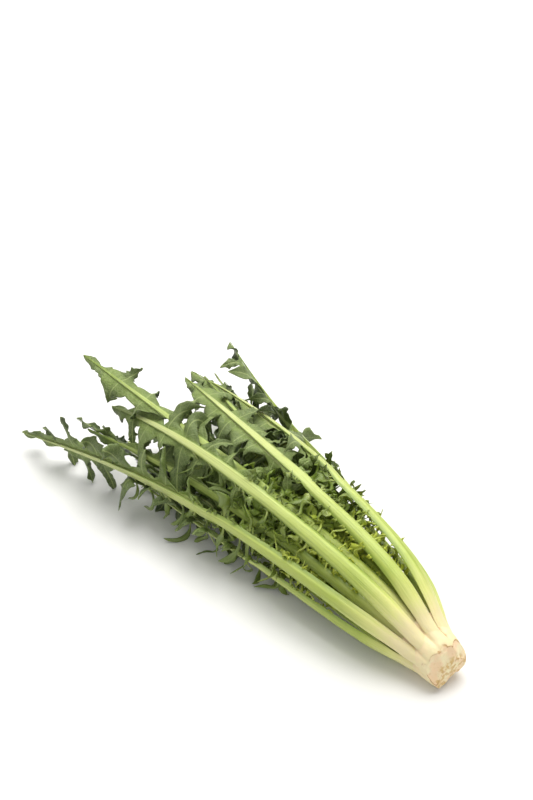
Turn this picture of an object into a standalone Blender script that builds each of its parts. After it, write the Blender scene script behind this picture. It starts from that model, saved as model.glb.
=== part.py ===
"""A head of catalogna chicory lying on its side, as it is cut for sale. Metres, +Z up.

The head's axis runs along +Y, from the trimmed crown to the leaf tips. The leaves stand in four
rings round the axis, and the head's own weight has pressed the rings flat. Each leaf has a
channelled stalk with thread-like side teeth, and a lobed blade that lies on the stalk's upper end.
Outer leaves take their lobes first. A lobe that would cross another leaf is bent clear of it.
"""

import math
import random
from dataclasses import dataclass

import bmesh
import bpy
import numpy as np
from mathutils.bvhtree import BVHTree

# The head as a whole
HEAD_LENGTH = 0.430
ROOT_RING = 0.0190
BELLY_SIDE, BELLY_UP = 0.0240, 0.0215
BELLY_RUN = 0.110
FAN_SIDE, FAN_UP = 0.055, 0.006
LOWEST_STALK_HEIGHT = 0.0034
SEED = 41

# The crown, whose trimmed end has three knife cuts across its rim
CROWN_RADIUS = 0.0232
CROWN_LENGTH = 0.026
CROWN_SPOTS = 18
CROWN_GROOVE = 0.94
CROWN_PROFILE = (
    (-1.00, 0.64), (-0.91, 0.76), (-0.64, 0.86), (-0.36, 0.93), (-0.10, 0.97), (-0.015, 0.955)
)  # fmt: skip
KNIFE_CUTS = (
    ((-0.60, -0.74, 0.30), 0.0250),
    ((0.50, -0.68, 0.54), 0.0250),
    ((0.20, -0.78, -0.60), 0.0248),
)

# Every leaf, as shares of its own length
ROOT_STATIONS = (0.0, 0.055, 0.12)
THREADS_FROM, THREADS_TO = 0.21, 0.47
BLADE_FROM, LOBES_TO = 0.49, 0.93
TIP_LOBE = 0.962
SQUARE_UNTIL = 0.05
SWAY_FROM = 0.30
CURL_FROM, CURL_TO = 0.45, 1.10
ROLL_FROM, ROLL_TO = 0.25, 0.80
DRIFT_POWER = 1.5
PATH_STEPS = 96

# How far one leaf may stray from its ring's plan, in degrees
STRAY_AZIMUTH = 0.8
STRAY_BEND = 3.0
STRAY_ROLL = 18.0

# A stalk's section, as shares of its depth or half width: (bare, where the blade lies on it)
EDGE_HEIGHT = (0.25, -0.55)
TROUGH_HEIGHT = (0.02, 0.0)
TROUGH_INSET = (0.58, 0.40)
BACK_DEPTH = (0.62, 0.87)
BACK_WIDTH = 0.52
BLADED_RUN = 0.06

# Teeth: the shares of a full reach that they start with, and how they hang, in degrees
LEAST_REACH = 0.0009
BLADE_START_REACH = 0.0032
THREAD_ROOT = 0.0024
FIRST_THREAD_SHARE = 0.40
END_LOBE_SHARE, LOBE_SWELL_POWER = 0.28, 0.7
NOTCH_SHARE, NOTCH_GROWTH = 0.09, 0.10
TIP_LOBE_SHARE = 0.30
LOBE_PLACE, LOBE_STRAY = 0.52, 0.14
LEAST_SIZE, SIZE_RANGE = 0.62, 0.58
SAG_FOLD, SAG_CURL = 26.0, 62.0
STRAY_FOLD, STRAY_CURL = 18.0, 34.0
BEND_LEANS = (0.4, 0.6)

# Thicknesses and gaps
BLADE_THICKNESS = 0.0008
THREAD_THICKNESS = 0.0009
BLADE_GAP = 0.0008
CLEAR_GAP = 0.0005
FLOOR_GAP = 0.00005

# How a tooth may shrink, uncurl and turn to clear its neighbours, in the order tried
SHARES = (1.0, 0.8, 0.62, 0.46, 0.32)
CURL_SHARES = (1.0, 0.2)
TURNS = tuple(math.radians(turn) for turn in (0, 12, -12, 24, -24, 38, -38, 54, -54))
MOST_BACK_FOLD, MOST_FOLD = math.radians(-20), math.radians(74)
MOST_DRAWS = 40

STALK_ROUGHNESS, BLADE_ROUGHNESS, CROWN_ROUGHNESS = 0.42, 0.55, 0.50
CROWN_COLOUR = (0.82, 0.70, 0.54)
SMOOTH_BELOW = math.radians(40)


def smooth(low, high, value):
    """0 below low, 1 above high, and an even curve between them."""
    share = np.clip((value - low) / (high - low), 0.0, 1.0)
    return share * share * (3 - 2 * share)


@dataclass(frozen=True)
class Taper:
    """A stalk's size along its length, as a share of its size at the root."""

    tip: float
    swell: float
    power: float
    root_run: float

    def at(self, place):
        """The share at a place on the leaf: 1 at the root, then a swell, then a taper."""
        tapered = self.tip + self.swell * np.maximum(1 - place, 0) ** self.power
        swollen = self.tip + self.swell - 1
        return tapered - swollen * (1 - smooth(0.0, self.root_run, place))


WIDTH_TAPER = Taper(0.05, 1.22, 0.8, 0.10)
DEPTH_TAPER = Taper(0.10, 1.40, 0.9, 0.12)


@dataclass(frozen=True)
class Habit:
    """How a kind of tooth grows: its leans towards the tip, as shares of its reach, and how limp."""

    least_lean: float
    most_lean: float
    limpness: float


THREAD_HABIT = Habit(-0.20, 0.50, 1.0)
LOBE_HABIT = Habit(-0.34, 0.12, 1.0)
NOTCH_HABIT = Habit(0.0, 0.0, 0.3)
TIP_HABIT = Habit(-0.10, 0.10, 0.4)
START_HABIT = Habit(0.0, 0.0, 0.0)


@dataclass(frozen=True)
class Posture:
    """How one leaf stands. Angles are in degrees, and azimuth is from straight up towards +X."""

    azimuth: float
    length: float
    drift: float = 0.0
    curl: float = 0.0
    sway: float = 0.0


@dataclass(frozen=True)
class Ring:
    """One ring of leaves round the axis."""

    name: str
    radius: float
    stalk_width: float
    stalk_depth: float
    lobe_reach: float
    thread_reach: float
    lobe_pairs: int
    thread_pairs: int
    stalk_colour: tuple
    blade_colour: tuple
    postures: tuple


RINGS = (
    Ring("outer", 0.0190, 0.0120, 0.0046, 0.042, 0.020, 7, 4,
         (0.62, 0.68, 0.38), (0.11, 0.20, 0.06), (
        Posture(0, 0.70, 4, -10, 4),
        Posture(40, 0.72, -8, -12, -8),
        Posture(80, 0.76, 0, 4, -5),
        Posture(120, 0.80, 2, 0, 3),
        Posture(160, 0.78, 4, 0, 3),
        Posture(200, 0.80, -4, 0, -3),
        Posture(240, 0.76, -3, 0, 1),
        Posture(280, 0.93, -12, -5, -11),
        Posture(320, 0.79, 12, -22, -4),
    )),
    Ring("middle", 0.0135, 0.0093, 0.0040, 0.036, 0.017, 6, 4,
         (0.55, 0.66, 0.30), (0.13, 0.24, 0.07), (
        Posture(20, 0.68, 4, 6, 3),
        Posture(65, 0.72, 5, 6, 4),
        Posture(110, 0.76, -4, 3, -4),
        Posture(155, 0.74, 3, 0, 4),
        Posture(200, 0.76, -3, 0, -4),
        Posture(245, 0.84, -3, 0, 2),
        Posture(290, 0.80, -9, -4, -7),
        Posture(335, 0.86, -14, 9, 3),
    )),
    Ring("inner", 0.0082, 0.0072, 0.0034, 0.028, 0.014, 5, 4,
         (0.58, 0.68, 0.26), (0.20, 0.33, 0.08), (
        Posture(10, 0.62, 5, 4, 4),
        Posture(70, 0.62, -4, 5, -5),
        Posture(130, 0.66, 4, 0, 4),
        Posture(190, 0.58, 0, 0, -4),
        Posture(250, 0.64, -4, 3, 4),
        Posture(310, 0.72, 5, 5, -4),
    )),
    Ring("heart", 0.0032, 0.0042, 0.0026, 0.012, 0.008, 4, 2,
         (0.72, 0.76, 0.30), (0.50, 0.60, 0.12), (
        Posture(40, 0.46, 0, 6, 5),
        Posture(160, 0.38, 0, 3, 4),
        Posture(280, 0.42, 0, 5, -5),
    )),
)  # fmt: skip


@dataclass(frozen=True)
class Tooth:
    """A thread or lobe: its reach, its lean towards the tip, its fold inwards and its curl."""

    reach: float
    lean: float = 0.0
    fold: float = 0.0
    curl: float = 0.0


class Station:
    """A cross-section of a stalk or blade. It wishes for two teeth and starts with bare edges."""

    def __init__(self, place, wished=None):
        self.place = place
        self.wished = wished
        self.teeth = [Tooth(LEAST_REACH), Tooth(LEAST_REACH)]


def between(pair, share):
    """From pair's first value at share 0 to its second at share 1."""
    return pair[0] + (pair[1] - pair[0]) * share


def unit(vectors):
    """Each row at length 1."""
    vectors = np.asarray(vectors, float)
    return vectors / np.linalg.norm(vectors, axis=-1, keepdims=True)


def belly(along):
    """How far the stalks have bulged out, from 0 at the crown to 1 a quarter of the way up."""
    return 1 - np.exp(-along / BELLY_RUN)


def half_breadth(along):
    """The outer ring's half width, where along is the share of the head's length."""
    return ROOT_RING + BELLY_SIDE * belly(along) + FAN_SIDE * along**2


def half_height(along):
    """The outer ring's half height, which the head's weight keeps low."""
    return ROOT_RING + BELLY_UP * belly(along) + FAN_UP * along


def axis_height(along):
    """The axis's height, so that the two lowest outer stalks lie near the surface."""
    return math.cos(math.radians(20)) * half_height(along) + LOWEST_STALK_HEIGHT


class Leaf:
    """One leaf: its midline, the frame along it, and the teeth that it wishes for."""

    def __init__(self, ring, index, draw):
        self.ring = ring
        self.name = f"{ring.name}_leaf_{index + 1}"
        self.draw = random.Random(draw.random())
        posture = ring.postures[index]
        self.length = HEAD_LENGTH * posture.length
        self.azimuth = self.stray(posture.azimuth, STRAY_AZIMUTH)
        self.drift = self.stray(posture.drift, STRAY_BEND)
        self.curl = self.stray(posture.curl, STRAY_BEND)
        self.sway = self.stray(posture.sway, STRAY_BEND)
        self.roll = self.stray(0.0, STRAY_ROLL)
        self.lay_midline()
        self.blade_stations = self.plan_blade()
        self.stalk_stations = self.plan_stalk()

    def stray(self, degrees, most):
        """An angle in radians, up to most degrees away from the planned one."""
        return math.radians(degrees + self.draw.uniform(-most, most))

    def lay_midline(self):
        """The midline's points and its tangent, side and inner directions."""
        along = np.linspace(0.0, self.length / HEAD_LENGTH, PATH_STEPS)
        share = self.ring.radius / ROOT_RING
        azimuth = self.azimuth + self.drift * along**DRIFT_POWER
        breadth, height = half_breadth(along), half_height(along)
        across = breadth * share * np.sin(azimuth)
        upward = axis_height(along) + height * share * np.cos(azimuth)
        points = np.stack([across, along * HEAD_LENGTH, upward], axis=1)
        side = np.stack([breadth * np.cos(azimuth), 0 * along, -height * np.sin(azimuth)], 1)
        tangent = unit(np.gradient(points, axis=0))
        side = unit(side - tangent * (side * tangent).sum(1)[:, None])
        inner = np.cross(tangent, side)
        steps = np.linalg.norm(np.diff(points, axis=0), axis=1)
        run = np.concatenate([[0.0], np.cumsum(steps)])
        self.run = run * self.length / run[-1]
        place = self.run / self.length
        curl = (self.curl * smooth(CURL_FROM, CURL_TO, place))[:, None]
        sway = (self.sway * smooth(SWAY_FROM, 1.0, place))[:, None]
        turned = tangent * np.cos(curl) - inner * np.sin(curl)
        turned = unit(turned + side * np.tan(sway))
        strayed = (turned - tangent) * np.gradient(self.run)[:, None]
        self.points = points + np.cumsum(strayed, 0)
        square = (1 - smooth(0.0, SQUARE_UNTIL, place))[:, None]
        self.tangent = unit(turned * (1 - square) + np.array([0.0, 1.0, 0.0]) * square)
        side = unit(side - self.tangent * (side * self.tangent).sum(1)[:, None])
        inner = np.cross(self.tangent, side)
        roll = (self.roll * smooth(ROLL_FROM, ROLL_TO, place))[:, None]
        self.side = side * np.cos(roll) + inner * np.sin(roll)
        self.inner = np.cross(self.tangent, self.side)
        self.rest_on_surface(place)

    def rest_on_surface(self, place):
        """Lifts the midline wherever the stalk or the blade's rib would sink below the surface."""
        width, depth = self.half_width(place), self.depth(place)
        side, inner = np.abs(self.side[:, 2]), self.inner[:, 2]
        back = BACK_DEPTH[1] * depth * inner + BACK_WIDTH * width * side
        edge = -EDGE_HEIGHT[1] * depth * inner + (width + LEAST_REACH) * side
        lowest = np.maximum(back, edge) + FLOOR_GAP
        self.points[:, 2] = np.maximum(self.points[:, 2], lowest)

    def at(self, place):
        """The midline point and its tangent, side and inner directions at a share of the length."""
        run = place * self.length
        rows = (self.points, self.tangent, self.side, self.inner)
        found = [np.array([np.interp(run, self.run, r[:, k]) for k in range(3)]) for r in rows]
        return found[0], unit(found[1]), unit(found[2]), unit(found[3])

    def half_width(self, place):
        """Half the stalk's width, which swells above the root and tapers to the blade's tip."""
        return self.ring.stalk_width / 2 * WIDTH_TAPER.at(place)

    def depth(self, place):
        """The stalk's depth from its channel to its back."""
        return self.ring.stalk_depth * DEPTH_TAPER.at(place)

    def plan_stalk(self):
        """Stations along the stalk: bare root, then pairs of threads, then the midrib."""
        pairs = self.ring.thread_pairs
        root = THREAD_ROOT / self.length
        stations = [Station(place) for place in ROOT_STATIONS]
        for pair in range(pairs):
            middle = between((THREADS_FROM, THREADS_TO), (pair + 0.5) / pairs)
            reach = self.ring.thread_reach * between((FIRST_THREAD_SHARE, 1.0), (pair + 1) / pairs)
            stations.append(Station(middle - root))
            stations.append(Station(middle, self.wish(middle, reach, THREAD_HABIT)))
            stations.append(Station(middle + root))
        return stations + [Station(notch.place) for notch in self.blade_stations[0:-1:2]]

    def plan_blade(self):
        """Stations along the blade: notches and lobes by turns, then the spear-shaped tip."""
        pairs, most = self.ring.lobe_pairs, self.ring.lobe_reach
        span = (BLADE_FROM, LOBES_TO)
        start = self.wish(BLADE_FROM, BLADE_START_REACH, START_HABIT)
        stations = [Station(BLADE_FROM, start)]
        for pair in range(pairs):
            strayed = LOBE_PLACE + self.draw.uniform(-LOBE_STRAY, LOBE_STRAY)
            lobe = between(span, (pair + strayed) / pairs)
            swell = math.sin(math.pi * (pair + 0.9) / (pairs + 0.9)) ** LOBE_SWELL_POWER
            reach = most * between((END_LOBE_SHARE, 1.0), swell)
            stations.append(Station(lobe, self.wish(lobe, reach, LOBE_HABIT)))
            notch = between(span, (pair + 1) / pairs)
            reach = most * (NOTCH_SHARE + NOTCH_GROWTH * (pair + 1) / pairs)
            stations.append(Station(notch, self.wish(notch, reach, NOTCH_HABIT)))
        tip = self.wish(TIP_LOBE, most * TIP_LOBE_SHARE, TIP_HABIT)
        return [*stations, Station(TIP_LOBE, tip), Station(1.0)]

    def wish(self, place, reach, habit):
        """The left and right teeth that a station should have. Limp teeth hang downwards."""
        downward = -float(self.at(place)[3][2])
        leans = (habit.least_lean, habit.most_lean)
        wished = []
        for _ in (-1, 1):
            drawn = [self.draw.random() for _ in range(4)]
            reached = reach * (LEAST_SIZE + SIZE_RANGE * drawn[0])
            fold = SAG_FOLD * downward * drawn[1] + STRAY_FOLD * (drawn[2] - 0.4)
            curl = SAG_CURL * downward * drawn[3] + STRAY_CURL * (drawn[1] - 0.5)
            angles = [math.radians(habit.limpness * angle) for angle in (fold, curl)]
            wished.append(Tooth(reached, reach * between(leans, drawn[2]), *angles))
        return wished


def tooth_points(frame, hand, tooth, edge, thickness):
    """A tooth's half-way and end points, each as (upper, lower). edge is (across, inward)."""
    point, tangent, side, inner = frame
    place = point + edge[0] * hand * side + edge[1] * inner
    found = []
    for lean, angle in zip(BEND_LEANS, (tooth.fold, tooth.fold + tooth.curl)):
        across = math.cos(angle) * hand * side + math.sin(angle) * inner
        above = math.cos(angle) * inner - math.sin(angle) * hand * side
        place = place + across * tooth.reach / 2 + tangent * tooth.lean * lean
        found.append((place + above * thickness / 2, place - above * thickness / 2))
    return found


def stalk_section(leaf, station):
    """Eight points round the stalk: upper left to right, then lower right to left."""
    frame = leaf.at(station.place)
    point, _, side, inner = frame
    width, depth = leaf.half_width(station.place), leaf.depth(station.place)
    bladed = float(smooth(BLADE_FROM - BLADED_RUN, BLADE_FROM, station.place))
    edge = (width - LEAST_REACH, between(EDGE_HEIGHT, bladed) * depth)
    trough = between(TROUGH_HEIGHT, bladed) * depth
    back = -between(BACK_DEPTH, bladed) * depth
    left = tooth_points(frame, -1, station.teeth[0], edge, THREAD_THICKNESS)[1]
    right = tooth_points(frame, 1, station.teeth[1], edge, THREAD_THICKNESS)[1]
    inset = between(TROUGH_INSET, bladed) * width
    upper = [point + s * inset * side + trough * inner for s in (-1, 1)]
    lower = [point + s * BACK_WIDTH * width * side + back * inner for s in (1, -1)]
    return [left[0], *upper, right[0], right[1], *lower, left[1]]


def blade_section(leaf, station):
    """Ten points round the blade: upper left to right, then lower right to left."""
    frame = leaf.at(station.place)
    height = BLADE_GAP + BLADE_THICKNESS / 2
    left = tooth_points(frame, -1, station.teeth[0], (0, height), BLADE_THICKNESS)
    right = tooth_points(frame, 1, station.teeth[1], (0, height), BLADE_THICKNESS)
    centre = [frame[0] + frame[3] * (height + s * BLADE_THICKNESS / 2) for s in (1, -1)]
    upper = [left[1][0], left[0][0], centre[0], right[0][0], right[1][0]]
    lower = [right[1][1], right[0][1], centre[1], left[0][1], left[1][1]]
    return upper + lower


def loft_faces(stations, size):
    """Triangles through rings of size points. Both faces of a tooth are split alike."""
    half = size // 2
    faces = []
    for row in range(len(stations) - 1):
        near, far = row * size, (row + 1) * size
        for spot in range(size):
            column = spot if spot < half - 1 else size - 2 - spot
            left = column < (half - 1) / 2
            hand = 0 if left else 1
            longer = stations[row + 1].teeth[hand].reach > stations[row].teeth[hand].reach
            following = (spot + 1) % size
            a, b, c, d = near + spot, near + following, far + following, far + spot
            # The split runs from the longer tooth's root to the other row's outer point.
            if longer == ((spot < half) == left):
                faces += [(a, b, c), (a, c, d)]
            else:
                faces += [(a, b, d), (b, c, d)]
    last = (len(stations) - 1) * size
    for k in range(half - 1):
        below = size - 1 - k
        faces += [(k + 1, k, below), (k + 1, below, below - 1)]
        faces += [(last + k, last + k + 1, last + below)]
        faces += [(last + k + 1, last + below - 1, last + below)]
    return faces


class Shape:
    """The stalk or the blade of a leaf, with the section of size points that it is lofted through."""

    def __init__(self, leaf, stations, section, size):
        self.leaf, self.stations = leaf, stations
        self.section, self.size = section, size

    def mesh(self, stations=None):
        """Points and triangles through the stations, with their teeth as they stand."""
        stations = stations or self.stations
        points = np.array([p for s in stations for p in self.section(self.leaf, s)])
        return points, loft_faces(stations, self.size)

    def is_clear(self, index, hand, tooth, others, partner):
        """Whether a tooth stays off the surface, the rest of its leaf and every other leaf."""
        station = self.stations[index]
        kept = station.teeth[hand]
        station.teeth[hand] = Tooth(tooth.reach + CLEAR_GAP, tooth.lean, tooth.fold, tooth.curl)
        points, faces = self.mesh(self.stations[max(index - 2, 0) : index + 3])
        station.teeth[hand] = kept
        if points[:, 2].min() < FLOOR_GAP / 2:
            return False
        still = tree_of([(points, faces)])
        own = still.overlap(still)
        if still.overlap(partner) or any(not set(faces[a]) & set(faces[b]) for a, b in own):
            return False
        shift = self.leaf.at(station.place)[3] * CLEAR_GAP
        moved = (tree_of([(points + step, faces)]) for step in (-shift, shift))
        return not any(tree.overlap(others) for tree in moved)

    def place_tooth(self, index, hand, others, partner):
        """Gives a tooth the first size, curl and turn at which it clears its neighbours."""
        wish = self.stations[index].wished[hand]
        for share in SHARES:
            for curl_share in CURL_SHARES:
                for turn in TURNS:
                    fold = wish.fold + turn
                    if not MOST_BACK_FOLD <= fold <= MOST_FOLD:
                        continue
                    curl = wish.curl * curl_share
                    tooth = Tooth(wish.reach * share, wish.lean * share, fold, curl)
                    if self.is_clear(index, hand, tooth, others, partner):
                        self.stations[index].teeth[hand] = tooth
                        return

    def place_teeth(self, others, partner):
        """Places the long teeth first, and then the notches between them."""
        wished = [k for k, station in enumerate(self.stations) if station.wished]
        wished.sort(key=lambda k: -max(tooth.reach for tooth in self.stations[k].wished))
        for index in wished:
            for hand in (0, 1):
                self.place_tooth(index, hand, others, partner)


def tree_of(meshes):
    """One search tree over several (points, faces)."""
    points, faces = [], []
    for mesh_points, mesh_faces in meshes:
        start = len(points)
        points += [tuple(p) for p in mesh_points]
        faces += [tuple(start + k for k in face) for face in mesh_faces]
    return BVHTree.FromPolygons(points, faces)


def bare_leaf(ring, index, draw, earlier):
    """A leaf's stalk and blade without teeth, drawn again until they clear the earlier leaves."""
    for _ in range(MOST_DRAWS):
        leaf = Leaf(ring, index, draw)
        stalk = Shape(leaf, leaf.stalk_stations, stalk_section, 8)
        blade = Shape(leaf, leaf.blade_stations, blade_section, 10)
        meshes = [stalk.mesh(), blade.mesh()]
        if min(points[:, 2].min() for points, _ in meshes) < 0:
            continue
        if not earlier or not tree_of(meshes).overlap(tree_of(earlier)):
            return stalk, blade
    raise ValueError(f"{ring.name} leaf {index + 1} has no room")


def grow_head():
    """Every leaf's stalk and blade, with the outer leaves' teeth placed first."""
    draw = random.Random(SEED)
    pairs, bare = [], []
    for ring in RINGS:
        for index in range(len(ring.postures)):
            pair = bare_leaf(ring, index, draw, bare)
            pairs.append(pair)
            bare += [shape.mesh() for shape in pair]
    for own in pairs:
        others = tree_of([s.mesh() for pair in pairs if pair is not own for s in pair])
        for shape, partner in (own, own[::-1]):
            shape.place_teeth(others, tree_of([partner.mesh()]))
    return pairs


def crown_mesh():
    """The crown: a cone ribbed below each outer stalk, trimmed at its end and flat below."""
    points, heights = [], []
    for along, share in CROWN_PROFILE:
        for spot in range(CROWN_SPOTS):
            angle = math.tau * spot / CROWN_SPOTS
            radius = CROWN_RADIUS * share * (1.0 if spot % 2 == 0 else CROWN_GROOVE)
            points.append((radius * math.sin(angle), along * CROWN_LENGTH, radius * math.cos(angle)))
            heights.append(CROWN_RADIUS * share * math.cos(math.radians(20)))
    points = np.array(points)
    for direction, distance in KNIFE_CUTS:
        normal = unit(direction)
        points -= np.maximum(points @ normal - distance, 0)[:, None] * normal
    points[:, 2] = np.maximum(points[:, 2] + heights, 0.0)
    faces = []
    for row in range(len(CROWN_PROFILE) - 1):
        for spot in range(CROWN_SPOTS):
            near, far = row * CROWN_SPOTS, (row + 1) * CROWN_SPOTS
            following = (spot + 1) % CROWN_SPOTS
            faces.append((near + spot, near + following, far + following))
            faces.append((near + spot, far + following, far + spot))
    last = (len(CROWN_PROFILE) - 1) * CROWN_SPOTS
    for k in range(1, CROWN_SPOTS - 1):
        faces.append((0, k + 1, k))
        faces.append((last, last + k, last + k + 1))
    return points, faces


def make_material(name, colour, roughness):
    """A plain finish with one colour."""
    material = bpy.data.materials.new(name)
    material.use_nodes = True
    shader = material.node_tree.nodes["Principled BSDF"]
    shader.inputs["Base Color"].default_value = (*colour, 1.0)
    shader.inputs["Roughness"].default_value = roughness
    shader.inputs["Metallic"].default_value = 0.0
    return material


def add_piece(name, shape, material, parent):
    """An object whose origin is its first point, with its faces turned outwards."""
    points, faces = shape
    mesh = bpy.data.meshes.new(name)
    mesh.from_pydata([tuple(p - points[0]) for p in points], [], faces)
    work = bmesh.new()
    work.from_mesh(mesh)
    bmesh.ops.recalc_face_normals(work, faces=work.faces)
    work.to_mesh(mesh)
    work.free()
    mesh.shade_smooth()
    mesh.set_sharp_from_angle(angle=SMOOTH_BELOW)
    mesh.materials.append(material)
    piece = bpy.data.objects.new(name, mesh)
    bpy.context.scene.collection.objects.link(piece)
    piece.parent = parent
    piece.location = points[0]


def main():
    for thing in list(bpy.data.objects):
        bpy.data.objects.remove(thing)
    pieces = [("crown", crown_mesh(), CROWN_COLOUR, CROWN_ROUGHNESS)]
    for stalk, blade in grow_head():
        leaf, ring = stalk.leaf, stalk.leaf.ring
        pieces.append((f"{leaf.name}_stalk", stalk.mesh(), ring.stalk_colour, STALK_ROUGHNESS))
        pieces.append((f"{leaf.name}_blade", blade.mesh(), ring.blade_colour, BLADE_ROUGHNESS))
    every_point = np.concatenate([points for _, (points, _), _, _ in pieces])
    middle = (every_point.min(0) + every_point.max(0)) / 2
    head = bpy.data.objects.new("chicory_head", None)
    bpy.context.scene.collection.objects.link(head)
    head.location = (-middle[0], -middle[1], 0.0)
    for name, shape, colour, roughness in pieces:
        add_piece(name, shape, make_material(name, colour, roughness), head)


main()
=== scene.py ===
"""Looks of a catalogna chicory head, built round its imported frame. Metres, +Z up.

The rule that grew the solids is repeated here, so each leaf's midline, threads and lobes are known
again. On them grow a fine stalk with ribs and curled threads, and a fine veined blade, and both
stand where the leaf's solids are. The crown gets its ribs, knife cuts and scars in the same way.
"""

import logging
import math
import random
from dataclasses import dataclass, field, replace
from enum import Enum

import bpy
import numpy as np
from mathutils import Matrix, Vector, noise
from mathutils.bvhtree import BVHTree

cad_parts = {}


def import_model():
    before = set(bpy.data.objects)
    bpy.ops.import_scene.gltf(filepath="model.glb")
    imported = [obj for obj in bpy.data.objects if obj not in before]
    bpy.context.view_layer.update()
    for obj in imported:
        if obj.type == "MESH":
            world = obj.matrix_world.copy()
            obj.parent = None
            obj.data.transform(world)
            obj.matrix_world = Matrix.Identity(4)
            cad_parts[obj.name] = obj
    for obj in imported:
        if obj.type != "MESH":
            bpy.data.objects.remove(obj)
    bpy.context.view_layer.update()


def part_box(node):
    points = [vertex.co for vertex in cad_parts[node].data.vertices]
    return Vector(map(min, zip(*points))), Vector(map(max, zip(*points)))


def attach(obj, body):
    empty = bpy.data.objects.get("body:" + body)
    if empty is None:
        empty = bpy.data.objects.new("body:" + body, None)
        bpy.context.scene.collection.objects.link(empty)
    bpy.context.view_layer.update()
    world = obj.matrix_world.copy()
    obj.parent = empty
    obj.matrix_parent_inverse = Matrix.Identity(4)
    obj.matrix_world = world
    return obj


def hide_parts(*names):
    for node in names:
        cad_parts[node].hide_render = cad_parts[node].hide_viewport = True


Array = np.ndarray
Colour = tuple[float, float, float]
Mesh = tuple[Array, list[tuple[int, ...]]]

LOG = logging.getLogger("chicory")

# The head as a whole
HEAD_LENGTH = 0.430
ROOT_RING = 0.0190
BELLY_SIDE, BELLY_UP = 0.0240, 0.0215
BELLY_RUN = 0.110
FAN_SIDE, FAN_UP = 0.055, 0.006
LOWEST_STALK_HEIGHT = 0.0034
LOWEST_STALKS = math.cos(math.radians(20))
SEED = 41

# Every leaf, as shares of its own length
ROOT_STATIONS = (0.0, 0.055, 0.12)
THREADS_FROM, THREADS_TO = 0.21, 0.47
BLADE_FROM, LOBES_TO = 0.49, 0.93
TIP_LOBE = 0.962
SQUARE_UNTIL = 0.05
SWAY_FROM = 0.30
CURL_FROM, CURL_TO = 0.45, 1.10
ROLL_FROM, ROLL_TO = 0.25, 0.80
DRIFT_POWER = 1.5
PATH_STEPS = 96

# How far one leaf may stray from its ring's plan, in degrees
STRAY_AZIMUTH = 0.8
STRAY_BEND = 3.0
STRAY_ROLL = 18.0

# A stalk's section, as shares of its depth or half width: (bare, where the blade lies on it)
EDGE_HEIGHT = (0.25, -0.55)
TROUGH_HEIGHT = (0.02, 0.0)
TROUGH_INSET = (0.58, 0.40)
BACK_DEPTH = (0.62, 0.87)
BACK_WIDTH = 0.52
BLADED_RUN = 0.06

# Teeth: the shares of a full reach that they start with, and how they hang, in degrees
LEAST_REACH = 0.0009
BLADE_START_REACH = 0.0032
THREAD_ROOT = 0.0024
FIRST_THREAD_SHARE = 0.40
END_LOBE_SHARE, LOBE_SWELL_POWER = 0.28, 0.7
NOTCH_SHARE, NOTCH_GROWTH = 0.09, 0.10
TIP_LOBE_SHARE = 0.30
LOBE_PLACE, LOBE_STRAY = 0.52, 0.14
LEAST_SIZE, SIZE_RANGE = 0.62, 0.58
SAG_FOLD, SAG_CURL = 26.0, 62.0
STRAY_FOLD, STRAY_CURL = 18.0, 34.0
BEND_LEANS = (0.4, 0.6)

# Thicknesses and gaps of the solids
BLADE_THICKNESS = 0.0008
THREAD_THICKNESS = 0.0009
BLADE_GAP = 0.0008
CLEAR_GAP = 0.0005
FLOOR_GAP = 0.00005

# Thin fine parts: how low their middle may lie, how narrow they may be, and what they carry
SHEET_HEIGHT = 0.0004
LEAST_HALF_WIDTH = 0.00012
SHEET_VALUES = ("along", "midrib", "aside", "run", "reach", "rim")
FAR_FROM_RIB = 9.0

# How a tooth may shrink, uncurl and turn to clear its neighbours, in the order tried
SHARES = (1.0, 0.8, 0.62, 0.46, 0.32)
CURL_SHARES = (1.0, 0.2)
TURNS = tuple(math.radians(turn) for turn in (0, 12, -12, 24, -24, 38, -38, 54, -54))
MOST_BACK_FOLD, MOST_FOLD = math.radians(-20), math.radians(74)
MOST_DRAWS = 40


def smooth(low: float, high: float, value: Array | float) -> Array | float:
    """Gives 0 below low, 1 above high, and an even curve between them."""
    share = np.clip((value - low) / (high - low), 0.0, 1.0)
    return share * share * (3 - 2 * share)


def between(pair: tuple[float, float], share: Array | float) -> Array | float:
    """Goes from pair's first value at share 0 to its second at share 1."""
    return pair[0] + (pair[1] - pair[0]) * share


def unit(vectors: Array) -> Array:
    """Gives rows of three numbers, or one row, at length 1."""
    vectors = np.asarray(vectors, float)
    return vectors / np.maximum(np.linalg.norm(vectors, axis=-1, keepdims=True), 1e-12)


@dataclass(frozen=True)
class Taper:
    """A stalk's size along its length, as a share of its size at the root."""

    tip: float
    swell: float
    power: float
    root_run: float

    def at(self, place: Array | float) -> Array | float:
        """Gives 1 at the root, then a swell, then a taper.

        Args:
            place: Shares of the leaf's length.

        Returns:
            The size's share at each place.
        """
        tapered = self.tip + self.swell * np.maximum(1 - place, 0) ** self.power
        swollen = self.tip + self.swell - 1
        return tapered - swollen * (1 - smooth(0.0, self.root_run, place))


@dataclass(frozen=True)
class Habit:
    """How a kind of tooth grows: how it leans towards the tip, in reaches, and how limp it is."""

    least_lean: float
    most_lean: float
    limpness: float


@dataclass(frozen=True)
class Posture:
    """How one leaf stands. Angles are in degrees, and azimuth is from straight up towards +X."""

    azimuth: float
    length: float
    drift: float = 0.0
    curl: float = 0.0
    sway: float = 0.0


class RingName(Enum):
    """The four rings of leaves, from the outside in."""

    OUTER = "outer"
    MIDDLE = "middle"
    INNER = "inner"
    HEART = "heart"


@dataclass(frozen=True)
class Ring:
    """One ring of leaves round the axis."""

    name: RingName
    radius: float
    stalk_width: float
    stalk_depth: float
    lobe_reach: float
    thread_reach: float
    lobe_pairs: int
    thread_pairs: int
    postures: tuple[Posture, ...]


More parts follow.
